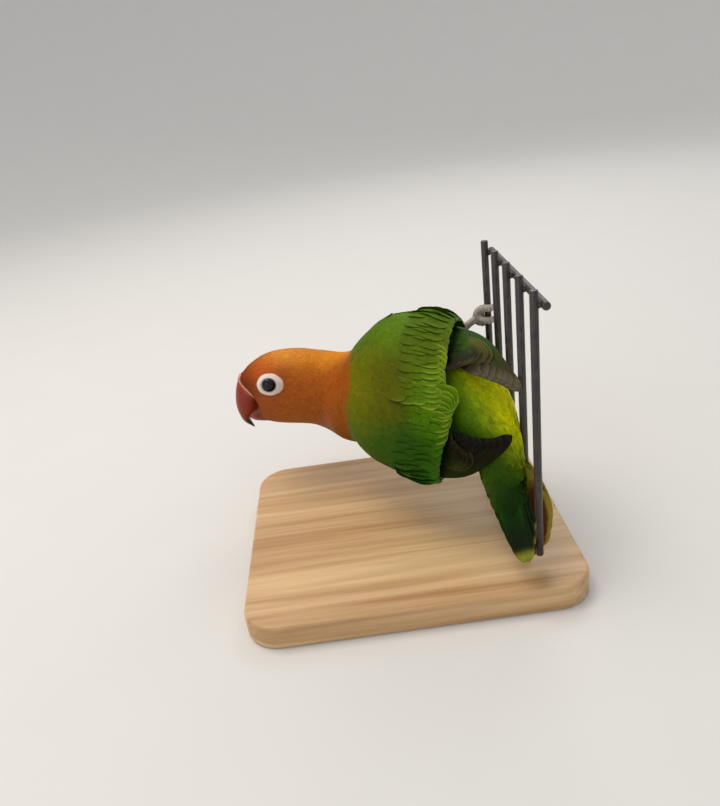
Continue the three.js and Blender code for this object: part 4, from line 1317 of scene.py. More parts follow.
def rectrix(pair, side, rng, rows=34):
    """A tail feather with its tint; the outer ones of the right side hang through the wires."""
    s = np.linspace(0, 1, rows)
    through = side > 0 and pair > 2
    sink = 0.3 * (pair * 2 + (1 if side > 0 else 0))
    normals = np.repeat((TAIL["up"] + TAIL["right"] * side * 0.03 * pair)[None], rows, 0)
    if through:
        line = bow(THROUGH_ROOT, THROUGH_BENDS[pair - 3], THROUGH_TIPS[pair - 3], s)
        normals = unit(normals * (1 - s[:, None]) + np.array(THROUGH_FACING) * s[:, None])
    else:
        spread_out = side * (0.5 + (1.1 if side > 0 else 1.5) * pair)
        start = place(TAIL, 1, side * (0.4 + 0.5 * pair), 1.6 - sink)
        tip = place(TAIL, TAIL_PAIRS[pair], spread_out + 1, 0.5 - sink)
        line = bow(start, 0.5 * (start + tip) + 0.8 * TAIL["up"], tip, s)
    width = (3.8 - 0.12 * pair) * graph(QUILL_OUTLINE, s)
    rings, own = blade(line, normals, width * 0.9, width * 0.9, 0.16, 0.16, 0.3)
    return rings, own, rectrix_tint(own, through, side, rng)


def rectrix_tint(own, through, side, rng):
    """Green tail feathers, black near the tip with a pale tip, and yellow and brown on those pushed through."""
    across, along = own[:, 0], own[:, 1]
    black = np.array(linear(TAIL_BLACK))
    edge = 0.6 * smoothstep(0.5, 1, 2 * np.abs(across - 0.5))
    tint = mixed(np.array(linear(TAIL_GREEN)), TAIL_BRIGHT, edge)
    if through:
        web = np.maximum(1 - smoothstep(0.4, 0.55, along), 1 - smoothstep(0.22, 0.42, across))
        tint = mixed(tint, mixed(np.array(linear(TAIL_BROWN)), TAIL_YELLOW, web), smoothstep(0.2, 0.35, along))
        dark = smoothstep(0.6, 0.75, along) * (1 - smoothstep(0.9, 0.97, along)) * 0.5 * (1 - web)
        return mixed(tint, 2 * black, 0.6 * dark)
    start = 0.3 if side > 0 else 0.5
    band = smoothstep(start, start + 0.25, along) * (1 - smoothstep(0.88, 0.95, along)) * 0.85
    tint = mixed(mixed(tint, black, band), TAIL_PALE, smoothstep(0.86, 0.95, along))
    return tint * rng.normal(1, 0.04)


def tail_covert(side, start, length, rise, half, up, rng, rows=16):
    """A covert over (up 1) or under (up -1) the tail's root, with its tint."""
    s = np.linspace(0, 1, rows)
    height = rise - 0.06 * side * side
    line = place(TAIL, start + length * s, side * (0.8 + 0.35 * s), up * (height - 1.6 * s**2))
    normals = np.repeat((TAIL["up"] * up + TAIL["right"] * side * 0.08)[None], rows, 0)
    width = half * graph(QUILL_OUTLINE, s)
    rings, own = blade(line, unit(normals), width, width, 0.12, 0.06, 0.4)
    return rings, own, covert_tint(rings, own, rng)


class LOVEBIRD_OT_tail(bpy.types.Operator):
    """Lays the tail feathers and the long coverts over and under their roots"""

    bl_idname = "lovebird.tail"
    bl_label = "Tail"

    def execute(self, context):
        rng = seeded(2)
        finish = feather_finish("tail_quills", barb=0.4, gloss=0.45)
        soft = feather_finish("tail_coverts", barb=0.35, gloss=0.5)
        pairs = reversed(range(len(TAIL_PAIRS)))
        quills = [rectrix(pair, side, rng) for pair in pairs for side in (1, -1)]
        blades_piece("tail_quills", quills, finish, "tail_feathers", "tail")
        blades = []
        for up, rows in ((1, COVERTS_ABOVE), (-1, COVERTS_BELOW)):
            for start, length, rise in rows:
                for k in range(-3, 4):
                    side = k * 1.35 + 0.3 * rng.normal()
                    shorter = 1.3 * abs(k) + 1.2 * rng.random()
                    blades.append(tail_covert(side, start, length - shorter, rise, 2.0, up, rng))
        blades_piece("tail_coverts", blades, soft, "tail_feathers")
        return {"FINISHED"}


# Bill and cere

# Culmen point and lower edge point, both ahead and up on the head, and half-width, from cere to tip.
UPPER_BILL = (
    (0, 11.4, 5, 2.6, -3.4, 4.9),
    (1, 13.1, 3, 5.2, -5.3, 5.3),
    (2, 14.2, 0.2, 6.1, -6.4, 5.1),
    (3, 14.8, -3.8, 6.9, -8, 4.6),
    (4, 14.7, -7.8, 8, -9.7, 3.8),
    (5, 13.6, -11.5, 9.3, -11.2, 2.9),
    (6, 11.9, -14.2, 9.9, -13, 1.8),
    (7, 8.6, -16.4, 8.5, -15.9, 0.3),
)
LOWER_BILL = (
    (0, -1, -4.4, -1, -12.6, 5),
    (1, 4.4, -5.2, 3.5, -13.4, 4.6),
    (2, 7.6, -7.6, 6.6, -13.8, 4),
    (3, 9.3, -9.4, 8.6, -13.2, 3.1),
    (4, 10.3, -11.2, 10, -12.4, 1.2),
)
LOWER_KEEL = -0.15  # the lower bill is broader towards its outer line
# Colours from the cere to the tip, by station.
UPPER_COLOURS = (
    (0, "#AC5E42"), (0.9, "#A4482E"), (2, "#84280F"), (4, "#882608"), (5.2, "#7A2C12"), (6.2, "#40221A"),
    (7, "#1E1816"),
)
LOWER_COLOURS = ((0, "#7C3216"), (2, "#702C12"), (3.2, "#96503A"), (4, "#C89480"))
# The lower bill's pale pink line along the mouth is a painted highlight.
UPPER_EDGE, LOWER_MOUTH_HIGHLIGHT = "#D9A48C", "#E8C4B4"
# The cere: station of the upper bill, and how far it stands off the horn.
CERE_BAND = ((0.25, 0.1), (0.45, 0.42), (0.8, 0.5), (1.05, 0.42), (1.25, 0.08))
# A nostril: its place on the head, its size, its depth, the height of the lip round it, and how much painted
# shade darkens its hollow.
NOSTRIL = {"ahead": 13.1, "side": 2.7, "up": 2.6, "radius": 0.62, "depth": 0.7, "lip": 0.12, "dark": 0.93}


def bill_rings(profile, stations, grow=None, sides=56, keel=0.12):
    """Rings of the bill at stations of its profile, narrower towards the culmen by keel."""
    ox, oy, ix, iy, half = (graph(profile, stations, column) for column in range(1, 6))
    grow = np.zeros(len(stations)) if grow is None else grow
    angle = turns(sides)
    cx, cy = (ox + ix) / 2, (oy + iy) / 2
    size = np.hypot(ox - cx, oy - cy)
    stretch = (size + grow) / size
    along = np.cos(angle)[None] * stretch[:, None]
    side = np.sin(angle)[None] * (half + grow)[:, None] * (1 - keel * np.cos(angle))[None]
    return head_point(cx[:, None] + (ox - cx)[:, None] * along, side, cy[:, None] + (oy - cy)[:, None] * along)


def horn_finish(name, gloss=0.32):
    """Bill horn: a thin polished keratin sheath, a little waxy, with fine growth lines and small chips."""
    material, tree, place_at = new_material(name)
    growth = add_node(tree, "TexNoise", {"Scale": 700, "Detail": 4, "Roughness": 0.6}, {"Vector": place_at})
    # Growth lines are about 0.3 mm apart and run across the bill.
    lines = add_node(
        tree,
        "TexWave",
        {"Scale": 900, "Distortion": 3, "Detail": 2, "Detail Scale": 1.5},
        {"Vector": place_at},
        wave_type="BANDS",
        bands_direction="Z",
    )
    colour = varied_tint(tree, growth, (0.3, 0.7), (0.85, 1.1))
    height = add_node(tree, "Math", links={0: growth, 1: lines.outputs["Fac"]}, operation="ADD")
    inputs = {"Roughness": gloss, "Specular IOR Level": 0.3, "Coat Weight": 0.06, "Coat Roughness": 0.2}
    return close_material(material, inputs, colour, (height, 0.08, 0.0001))


def blended(colours, stations):
    """Colours at stations along stops of (place, hex colour)."""
    at = [stop[0] for stop in colours]
    channels = np.array([linear(stop[1]) for stop in colours])
    return np.column_stack([np.interp(stations, at, channels[:, k]) for k in range(3)])


def banded(colours, stations, sides):
    """Those colours ring by ring, the same all round each ring."""
    return np.repeat(blended(colours, stations)[:, None], sides, 1)


def cere_rings():
    """The swollen band of the cere with its two nostrils pressed in, and its tint."""
    stations = np.linspace(CERE_BAND[0][0], CERE_BAND[-1][0], 22)
    rings = bill_rings(UPPER_BILL, stations, graph(CERE_BAND, stations), sides=120)
    flat = rings.reshape(-1, 3)
    tint = np.repeat(chosen("cere")[None], len(flat), 0)
    for _, side in SIDES:
        centre = head_point(NOSTRIL["ahead"], side * NOSTRIL["side"], NOSTRIL["up"])
        inward = unit(head_point(8, side * 1.5, -1) - centre)
        distance = np.linalg.norm(flat - centre, axis=1) / NOSTRIL["radius"]
        dent = 1 - smoothstep(0.55, 1.15, distance)
        lip = np.exp(-(((distance - 1.25) / 0.35) ** 2)) * NOSTRIL["lip"]
        flat = flat + inward * (NOSTRIL["depth"] * dent - lip)[:, None]
        # Painted shade in the nostril's hollow.
        tint = tint * (1 - NOSTRIL["dark"] * dent)[:, None]
    return flat.reshape(rings.shape), tint.reshape(rings.shape)


class LOVEBIRD_OT_bill(bpy.types.Operator):
    """Makes the hooked upper bill, the lower bill and the swollen cere with its nostrils"""

    bl_idname = "lovebird.bill"
    bl_label = "Bill"

    def execute(self, context):
        horn = horn_finish("bill_horn")
        sides = 56
        round_it = np.cos(turns(sides))

        stations = np.concatenate([np.linspace(0, 6, 40), np.linspace(6.1, 7, 12)])
        edge = np.clip(-round_it - 0.75, 0, 1)[None] * 2.2 * smoothstep(1.5, 4, stations)[:, None]
        tint = mixed(banded(UPPER_COLOURS, stations, sides), UPPER_EDGE, edge)
        upper = lofted("bill_upper_horn", bill_rings(UPPER_BILL, stations, sides=sides), horn, tint)
        hand_over(upper, "bill", "bill_upper")

        stations = np.linspace(0, 4, 36)
        # A painted highlight along the lower bill's edge at the mouth.
        edge = smoothstep(0.82, 0.98, round_it)[None] * 0.8
        tint = mixed(banded(LOWER_COLOURS, stations, sides), LOWER_MOUTH_HIGHLIGHT, edge)
        rings = bill_rings(LOWER_BILL, stations, sides=sides, keel=LOWER_KEEL)
        hand_over(lofted("bill_lower_horn", rings, horn, tint), "bill", "bill_lower")

        rings, tint = cere_rings()
        hand_over(lofted("cere", rings, soft_skin_finish("cere_skin"), tint), "bill")
        return {"FINISHED"}


# Eyes

def soft_skin_finish(name):
    """Bare living skin, thin and finely wrinkled, with light that scatters a little inside it."""
    material, tree, place_at = new_material(name)
    tint = add_node(tree, "Attribute", attribute_name="Tint")
    # The wrinkles are about 0.6 mm apart.
    wrinkles = add_node(tree, "TexVoronoi", {"Scale": 1600}, {"Vector": place_at}, feature="DISTANCE_TO_EDGE")
    inputs = {"Roughness": 0.65, "Specular IOR Level": 0.22}
    inputs.update({"Subsurface Weight": 0.12, "Subsurface Scale": 0.0008})
    return close_material(material, inputs, tint, (wrinkles, 0.35, 0.0001))


def eye_finish():
    """The eye's surface: a wet clear cornea over a dark iris."""
    material, tree, place_at = new_material("wet_cornea_over_iris")
    tint = add_node(tree, "Attribute", attribute_name="Tint")
    # The tear film is uneven over about 2 mm.
    film = add_node(tree, "TexNoise", {"Scale": 500, "Detail": 2}, {"Vector": place_at})
    inputs = {"Roughness": 0.1, "Specular IOR Level": 0.3, "Coat Weight": 0.1, "Coat Roughness": 0.02}
    return close_material(material, inputs, tint, (film, 0.02, 0.0001))


# The ball's colours by angle from its middle, in radians: pupil, iris and its dark rim.
EYE_COLOURS = (
    (0, "#030303"), (0.46, "#030303"), (0.52, "#0F0A06"), (0.66, "#20160E"), (0.8, "#150E08"), (1.0, "#060504"),
)
LID = 0.15  # how far outside the opening the lid's edge lies
# The ring's section: distance from the lid's edge, and height over the eye's plane or over the cheek.
RING_SECTION = (
    (0, -1.4), (0, -0.24), (0.04, 0.1), (0.2, 0.24), (0.42, 0.25), (0.6, 0.2), (0.82, 0.26), (1.2, 0.26),
    (1.4, 0.26), (1.6, 0.25), (1.8, 0.23), (2.0, 0.2), (2.2, 0.17), (2.4, 0.14), (2.6, 0.08), (2.75, 0.02),
    (2.95, -0.2), (3.05, -0.6), (2.95, -1.5),
)
RING_COVER = 0.26  # the ring's face stands at least this far over the cheek
# How far the cheek may lie under the eye's plane, near the lids and farther out.
CHEEK_FLOOR = (-0.3, -2.2)
RING_COLOURS = (
    (0, "#2E2A28"), (0.3, "#6E6866"), (0.55, "#9A9494"), (0.8, "#C8C0BA"), (1.5, "#DED4CA"), (2.6, "#DAC6B8"),
    (3.0, "#A87C60"),
)  # by distance from the lid's edge


def eye_middle(side):
    """The middle of the lids' plane."""
    return head_point(EYE["ahead"], side * (EYE["side"] - EYE["sink"]), EYE["up"])


def eye_axes(side):
    """The eye's line of sight, and two ways across it: ahead and upward."""
    outward = unit(HEAD["right"] * side + HEAD["up"] * 0.1 + HEAD["ahead"] * 0.16)
    along = unit(HEAD["ahead"] - outward * (HEAD["ahead"] @ outward))
    return outward, along, np.cross(along, outward) * side


def eyeball(side, rng, rows=40, sides=64):
    """Rings of the eyeball from its front to its back, with the tint of pupil and streaked iris."""
    outward, along, rise = eye_axes(side)
    depth = math.sqrt(EYE["radius"] ** 2 - EYE["visible"] ** 2)
    centre = head_point(EYE["ahead"], side * (EYE["side"] - EYE["sink"] - depth), EYE["up"])
    polar = np.linspace(0.02, math.pi - 0.02, rows)
    turn = turns(sides)
    bulge = 1 + 0.05 * np.exp(-((polar / 0.5) ** 2))
    spin = (np.cos(turn)[:, None] * along + np.sin(turn)[:, None] * rise)[None]
    way = np.cos(polar)[:, None, None] * outward + np.sin(polar)[:, None, None] * spin
    iris = banded(EYE_COLOURS, polar, sides)
    streak = 0.25 * rng.normal(size=sides)
    iris = iris * (np.where((polar > 0.45) & (polar < 0.9), 1, 0)[:, None, None] * streak[None, :, None] + 1)
    return centre + EYE["radius"] * bulge[:, None, None] * way, np.clip(iris, 0, 1)


def eye_ring(side, skin, sides=108):
    """Sections of the bare ring round an eye, which lies on the skin of the cheek, with its tint."""
    outward, along, rise = eye_axes(side)
    reach, height = np.array(RING_SECTION).T
    turn = turns(sides)
    wave = 1 + 0.025 * np.sin(3 * turn + side) + 0.02 * np.sin(7 * turn + 2)
    wrinkle = 0.035 * np.sin(36 * turn + 1.3 * np.sin(5 * turn))[:, None] * smoothstep(0.5, 1.2, reach)[None]
    radius = EYE["visible"] + LID + reach[None] * wave[:, None]
    # The opening is nearly round, and the ring gets flatter towards its outer edge.
    flatness = 0.97 - (0.97 - EYE["flatness"]) * smoothstep(0, 1.5, reach)
    ahead, upward = np.cos(turn)[:, None] * radius, np.sin(turn)[:, None] * radius * flatness[None]
    places = eye_middle(side) + along * ahead[..., None] + rise * upward[..., None]
    cheek = skin.heights(places, outward)
    cheek = np.maximum(cheek, np.where(reach < 1.5, *CHEEK_FLOOR)[None])
    level = height[None] + wrinkle + cheek * smoothstep(0.6, 2, reach)[None]
    over = (reach > 0.15) & (reach < 2.5)
    level = np.where(over[None], np.maximum(level, cheek + RING_COVER), level)
    return places + outward * level[..., None], blended(RING_COLOURS, np.tile(reach, sides))


class LOVEBIRD_OT_eyes(bpy.types.Operator):
    """Makes the eyes and the white rings of bare skin round them, with the lids' grey edge"""

    bl_idname = "lovebird.eyes"
    bl_label = "Eyes"

    def execute(self, context):
        rng = seeded(3)
        skin = SkinSurface(bpy.data.objects["skin"])
        wet, bare = eye_finish(), soft_skin_finish("bare_eye_ring")
        for name, side in SIDES:
            rings, tint = eyeball(side, rng)
            hand_over(lofted(f"eyeball_{name}", rings, wet, tint), "eye", f"eye_{name}")
            rings, tint = eye_ring(side, skin)
            hand_over(ring_piece(f"eye_ring_{name}", rings, bare, tint), "eye")
        return {"FINISHED"}


def ring_piece(name, sections, finish, tint):
    """A closed ring through sections of points, the last one joined to the first."""
    points = sections.reshape(-1, 3)
    faces = walls(*sections.shape[:2], closed=True)
    return mesh_piece(name, points, turned_outwards(points, faces), finish, tint)


# Feet

# Toes of each foot: side of the wire, rise along the wire and how far round it they reach, in radians.
TOES = ((-1, 3.4, 2.5), (-1, -0.8, 2.35), (1, 1.6, 2.4), (1, -3.2, 2.1))
TOE_RADII = ((0, 1.6), (0.2, 1.35), (0.45, 1.3), (0.7, 1.15), (0.9, 0.95), (1, 0.75))
TOE_OFF = 1.7  # from the wire's surface to the middle of a toe
SHANK_RADII = ((0, 1.1), (0.12, 1.45), (0.6, 1.25), (0.85, 1.4), (1, 1.7))
CLAW_RADII = ((0, 0.62), (0.3, 0.56), (0.7, 0.34), (1, 0.04))
CLAW_COLOURS = ((0, "#8A7C70"), (0.4, "#5A4E46"), (1, "#2A2420"))
PAD = {"radius": 1.9, "half_height": 3.15}
SCUTE = {"length": 0.85, "height": 0.09}
FOOT_GRAIN = 0.22  # cell size of a foot's fused skin


def limb(line, radii, sides=18):
    """Rings of a round limb along a line."""
    line = np.asarray(line, float)
    way = unit(np.gradient(line, axis=0))
    across = unit(np.cross(way, np.array([0.31, 0.22, 0.93])))
    other = np.cross(way, across)
    angle = turns(sides)
    spin = np.cos(angle)[None, :, None] * across[:, None] + np.sin(angle)[None, :, None] * other[:, None]
    return line[:, None] + spin * np.asarray(radii, float)[:, None, None]


def toe_line(foot, side, rise, reach, count=40):
    """The middle line of a toe, from the palm round the wire."""
    y = wire_place(foot)
    ring = WIRE["radius"] + TOE_OFF
    angle = np.linspace(0, reach, count)
    up = foot["height"] + rise * (0.5 + 0.5 * np.minimum(1, angle))
    return np.column_stack([WIRE["x"] - np.cos(angle) * ring, y + side * np.sin(angle) * ring, up])


def foot_finish():
    """Scaly foot skin: dry grey-pink horn scales with dark grooves between them."""
    material, tree, place_at = new_material("scaly_foot_skin")
    # Scales are 0.5 mm wide on the toes.
    scales = add_node(tree, "TexVoronoi", {"Scale": 2000}, {"Vector": place_at}, feature="DISTANCE_TO_EDGE")
    colour = varied_tint(tree, scales, (0.0, 0.12), (0.62, 1.0))
    groove = colour.inputs["Scale"].links[0].from_socket
    inputs = {"Roughness": 0.55, "IOR": 1.45}
    return close_material(material, inputs, colour, (groove, 0.6, 0.00015))


def foot_flesh(name, foot):
    """Shank, pad and toes as closed bodies, fused into one skin with swollen joints along the toes."""
    hip, ankle, palm = leg_joints(foot)
    into_leg = ankle + unit(hip - ankle) * 1.2
    t = np.linspace(0, 1, 20)
    parts = [loft(limb(into_leg + (palm - into_leg) * t[:, None], graph(SHANK_RADII, t)))]
    polar = np.linspace(0.05, math.pi - 0.05, 18)
    pad_line = palm + np.column_stack([0 * polar, 0 * polar, -PAD["half_height"] * np.cos(polar)])
    parts.append(loft(limb(pad_line, PAD["radius"] * np.sin(polar) + 0.05)))
    for toe in TOES:
        line = toe_line(foot, *toe)
        s = np.linspace(0, 1, len(line))
        joints = 0.1 * np.cos(s * toe[2] * 3.05 / 1.05 * 2 * math.pi) * smoothstep(0, 0.15, s)
        parts.append(loft(limb(line, graph(TOE_RADII, s) + joints)))
    piece = mesh_piece(name, *joined(parts), foot_finish())
    add_modifier(piece, "REMESH", mode="VOXEL", voxel_size=FOOT_GRAIN * MM)
    add_modifier(piece, "SMOOTH", factor=0.5, iterations=4)
    apply_all(piece)
    return piece


def scute(piece, foot):
    """Raises rows of scutes over the toes, and tints the piece."""
    mesh = piece.data
    points = points_of(mesh)
    normals = mesh_rows(mesh.vertices, "normal").astype(float)
    best = np.full(len(points), np.inf)
    lengthways = np.zeros(len(points))
    for toe in TOES:
        line = toe_line(foot, *toe)
        distance = np.linalg.norm(points[:, None] - line[None], axis=2)
        closer = distance.min(1) < best
        best[closer] = distance.min(1)[closer]
        lengthways[closer] = lengths_along(line)[distance.argmin(1)][closer]
    outer = smoothstep(2.6, 3.6, np.hypot(points[:, 0] - WIRE["x"], points[:, 1] - wire_place(foot)))
    ridge = np.abs(np.sin(lengthways / SCUTE["length"] * math.pi)) ** 0.5
    move_points(mesh, points + normals * (SCUTE["height"] * ridge * outer)[:, None])
    paint(mesh, mixed(chosen("grooves"), chosen("scales"), outer * (0.35 + 0.65 * ridge)))


def claws(name, foot, finish, rows=22, sides=16):
    """The four claws of a foot: curved and pointed, from pale at the toe to dark at the tip."""
    parts, tints = [], []
    s = np.linspace(0, 1, rows)
    colour = banded(CLAW_COLOURS, s, sides)
    for toe in TOES:
        line = toe_line(foot, *toe)
        end, onward = line[-1], unit(line[-1] - line[-3])
        outward = unit(np.array([end[0] - WIRE["x"], end[1] - wire_place(foot), 0]))
        bend, tip = end + 1.6 * onward + 0.75 * outward, end + 2.9 * onward - 0.25 * outward
        path = bow(end - 0.5 * onward, bend, tip, s)
        parts.append(loft(limb(path, graph(CLAW_RADII, s), sides)))
        tints.append(with_ends(colour))
    return mesh_piece(name, *joined(parts), finish, np.vstack(tints))


class LOVEBIRD_OT_feet(bpy.types.Operator):
    """Makes the scaly feet that grip the wires, two toes each way, with their claws"""

    bl_idname = "lovebird.feet"
    bl_label = "Feet"

    def execute(self, context):
        horn = horn_finish("claw_horn", gloss=0.38)
        for name, foot in FEET.items():
            flesh = foot_flesh(f"scaly_foot_{name}", foot)
            scute(flesh, foot)
            hand_over(flesh, "foot_skin", f"foot_{name}")
            hand_over(claws(f"claws_{name}", foot, horn), "foot_skin")
        return {"FINISHED"}


# Perch

# The cross wires: heights, how far they pass the outer wires, and distance of their middle from the row's.
CROSS = {"low": 15.2, "high": 90, "overhang": 2.4, "offset": 2.6}
BEAD = {"radius": 0.95, "shape": (0.75, 1.15, 1.05)}
WIRE_RIM = 0.35  # rounding of a wire's cut ends


def painted_wire_finish():
    """Steel wire dipped in dark enamel: semi-gloss with a fine orange peel, worn brown in places."""
    material, tree, place_at = new_material("dark_enamelled_wire")
    # The peel is about 0.9 mm wide and the worn places are about 4 mm wide.
    peel = add_node(tree, "TexNoise", {"Scale": 1100, "Detail": 3}, {"Vector": place_at})
    wear = add_node(tree, "TexNoise", {"Scale": 260, "Detail": 6, "Roughness": 0.7}, {"Vector": place_at})
    colour = two_tones(tree, wear, (0.42, chosen("wire")), (0.72, chosen("wire_wear")))
    inputs = {"From Min": 0.35, "From Max": 0.7, "To Min": 0.28, "To Max": 0.6}
    rough = add_node(tree, "MapRange", inputs, {"Value": wear})
    inputs = {"Coat Weight": 0.2, "Coat Roughness": 0.25}
    return close_material(material, inputs, colour, (peel, 0.25, 0.0001), Roughness=rough)


def add_bar(name, start, end, radius, rounding, sides=28):
    """A round bar from start to end, in millimetres, with its rims rounded."""
    start, end = Vector(start), Vector(end)
    bpy.ops.object.select_all(action="DESELECT")
    bpy.ops.mesh.primitive_cylinder_add(
        vertices=sides,
        radius=radius * MM,
        depth=(end - start).length * MM,
        location=(start + end) / 2 * MM,
        rotation=(end - start).to_track_quat("Z", "Y").to_euler(),
    )
    bar = bpy.context.object
    bar.name = bar.data.name = name
    add_modifier(bar, "BEVEL", width=rounding * MM, segments=3, limit_method="ANGLE")
    apply_all(bar)
    bpy.ops.object.shade_smooth_by_angle(angle=math.radians(40))
    return bar


def add_bead(place_at):
    """A flattened bead of weld with its middle at a place in millimetres."""
    bpy.ops.object.select_all(action="DESELECT")
    location = [value * MM for value in place_at]
    bpy.ops.mesh.primitive_uv_sphere_add(
        segments=20, ring_count=12, radius=BEAD["radius"] * MM, location=location, scale=BEAD["shape"]
    )
    bpy.ops.object.shade_smooth()
    return bpy.context.object


class LOVEBIRD_OT_perch(bpy.types.Operator):
    """Makes the cut piece of upright wires, the two cross wires and the weld beads between them"""

    bl_idname = "lovebird.perch"
    bl_label = "Perch"

    def execute(self, context):
        finish = painted_wire_finish()
        x, radius = WIRE["x"], WIRE["radius"]
        row = [WIRE["first_y"] + k * WIRE["pitch"] for k in range(WIRE["count"])]
        for k, y in enumerate(row, 1):
            wire = add_bar(f"wire_{k}", (x, y, WIRE["foot"]), (x, y, WIRE["top"]), radius, WIRE_RIM)
            hand_over(settle(wire, finish), "dark_wire", f"perch_wire_{k}")
        first, last = row[0] - CROSS["overhang"], row[-1] + CROSS["overhang"]
        for name, side in (("low", -1), ("high", 1)):
            z, off = CROSS[name], side * CROSS["offset"]
            bar = add_bar(f"cross_wire_{name}", (x + off, first, z), (x + off, last, z), radius, WIRE_RIM)
            settle(bar, finish)
            beads = [settle(add_bead((x + off / 2, y, z)), finish) for y in row]
            only(bar, *beads)
            bpy.ops.object.join()
            hand_over(bar, "dark_wire", f"perch_cross_{name}")
        return {"FINISHED"}


# Stand

BASE = {"corner": 11, "edge": 1.2}  # rounding of the base's upright corners and of its rims
# The rods: radius, place, how far their ends go into the base, and the rounding of their rims.
ROD = {"radius": 2, "x": 35.2, "y": (15.6, -27.6), "sunk": 0.3, "rim": 0.3}


def wood_finish():
    """Oiled beech: a pale plank with straight grain about 1.5 mm apart, small dark flecks and open pores."""
    material, tree, place_at = new_material("oiled_beech")
    stretched = add_node(tree, "Mapping", {"Scale": (0.035, 1, 1)}, {"Vector": place_at})
    inputs = {"Scale": 900, "Detail": 6, "Roughness": 0.65, "Distortion": 0.15}
    fine = add_node(tree, "TexNoise", inputs, {"Vector": stretched})
    broad = add_node(tree, "TexNoise", {"Scale": 130, "Detail": 4, "Distortion": 0.5}, {"Vector": stretched})
    grain = add_node(tree, "Math", {1: 0.45}, {0: fine, 2: broad}, operation="MULTIPLY_ADD")
    colour = two_tones(tree, grain, (0.5, chosen("grain")), (0.92, chosen("wood")))
    pores = add_node(tree, "TexNoise", {"Scale": 1500, "Detail": 2}, {"Vector": stretched})
    inputs = {"Roughness": 0.45, "Coat Weight": 0.1, "Coat Roughness": 0.4}
    return close_material(material, inputs, colour, (pores, 0.2, 0.0001))


def steel_finish():
    """Brushed stainless steel: fine turning lines 0.2 mm apart round the rod."""
    material, tree, place_at = new_material("brushed_stainless_steel")
    lines = add_node(tree, "Mapping", {"Scale": (0.05, 0.05, 1)}, {"Vector": place_at})
    brushed = add_node(tree, "TexNoise", {"Scale": 5000, "Detail": 2}, {"Vector": lines})
    inputs = {"From Min": 0.3, "From Max": 0.7, "To Min": 0.22, "To Max": 0.42}
    rough = add_node(tree, "MapRange", inputs, {"Value": brushed})
    inputs = {"Metallic": 1.0, "Base Color": (*chosen("steel"), 1)}
    return close_material(material, inputs, relief=(brushed, 0.1, 0.00005), Roughness=rough)


def wooden_base():
    """A plank with rounded upright corners and softened rims, in place of the stand's base."""
    low, high = (np.array(corner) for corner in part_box("stand_base"))
    bpy.ops.object.select_all(action="DESELECT")
    bpy.ops.mesh.primitive_cube_add(size=1, location=(low + high) / 2, scale=high - low)
    base = bpy.context.object
    base.name = base.data.name = "wooden_base"
    settle(base)
    bpy.ops.object.mode_set(mode="EDIT")
    bpy.ops.mesh.select_all(action="DESELECT")
    shape = bmesh.from_edit_mesh(base.data)
    for edge in shape.edges:
        if abs(edge.verts[0].co.z - edge.verts[1].co.z) > 0.5 * (high - low)[2]:
            edge.select = True
    bmesh.update_edit_mesh(base.data)
    bpy.ops.mesh.bevel(offset=BASE["corner"] * MM, segments=12, affect="EDGES")
    bpy.ops.object.mode_set(mode="OBJECT")
    sharp = math.radians(40)
    add_modifier(base, "BEVEL", width=BASE["edge"] * MM, segments=4, limit_method="ANGLE", angle_limit=sharp)
    apply_all(base)
    bpy.ops.object.shade_smooth_by_angle(angle=math.radians(30))
    return base


class LOVEBIRD_OT_stand(bpy.types.Operator):
    """Makes the wooden base with its rounded edges and the two steel rods up to the perch"""

    bl_idname = "lovebird.stand"
    bl_label = "Stand"

    def execute(self, context):
        hand_over(settle(wooden_base(), wood_finish()), "base_wood", "stand_base")
        steel = steel_finish()
        for k, y in enumerate(ROD["y"], 1):
            low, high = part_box(f"stand_rod_{k}")
            start, end = (ROD["x"], y, low[2] / MM - ROD["sunk"]), (ROD["x"], y, high[2] / MM)
            rod = add_bar(f"steel_rod_{k}", start, end, ROD["radius"], ROD["rim"], 40)
            hand_over(settle(rod, steel), "rod_steel", f"stand_rod_{k}")
        return {"FINISHED"}


# Stage

class LovebirdStage(bpy.types.PropertyGroup):
    """Backdrop and lights."""

    floor: colour_setting("Floor", "Colour of the floor and of the backdrop that it curves up into", "#DAD8D3")
    key_power: number_setting("Key light", "Power of the large soft light", 3.7, unit="POWER")
    fill_power: number_setting("Fill light", "Power of the light opposite", 1.3, unit="POWER")
    back_power: number_setting("Back light", "Power of the light behind", 1.2, unit="POWER")


PHOTO_HEIGHT = 806  # in pixels
CAMERA_PLACE = (-0.009, -0.207, 0.150)
# The camera's ways to the right, up and ahead.
CAMERA_AXES = ((0.9905, -0.0581, -0.1246), (0.1374, 0.4186, 0.8977), (0.0, 0.9063, -0.4226))
CAMERA_FOCAL_PIXELS = 720
SENSOR = 36
# The backdrop: a round floor with an upward curve all round it, in metres and radians.
STUDIO = {"floor": 0.95, "curve": 0.9, "slope": 1.35, "bends": 14}
LIGHTS_AIM = (0, 0.01, 0.06)
# Each light: its place, the side of its square and its colour. Its power is in the settings.
LIGHTS = {
    "key": ((-0.3, 0.1, 0.8), 0.45, "#FFF6EA"),
    "fill": ((-0.55, -0.55, 0.3), 0.6, "#EEF3FF"),
    "back": ((0.25, 0.65, 0.6), 0.4, "#FFFFFF"),
}
SKY_COLOUR, SKY_STRENGTH = (0.95, 0.96, 1, 1), 0.65


def add_area(name, location, size, power, colour):
    """A square soft light that shines on the bird."""
    bpy.ops.object.light_add(type="AREA", location=location)
    lamp = bpy.context.object
    lamp.name = name
    lamp.data.shape = "SQUARE"
    lamp.data.size = size
    lamp.data.energy = power
    lamp.data.color = linear(colour)
    way = Vector(LIGHTS_AIM) - Vector(location)
    lamp.rotation_euler = way.to_track_quat("-Z", "Y").to_euler()


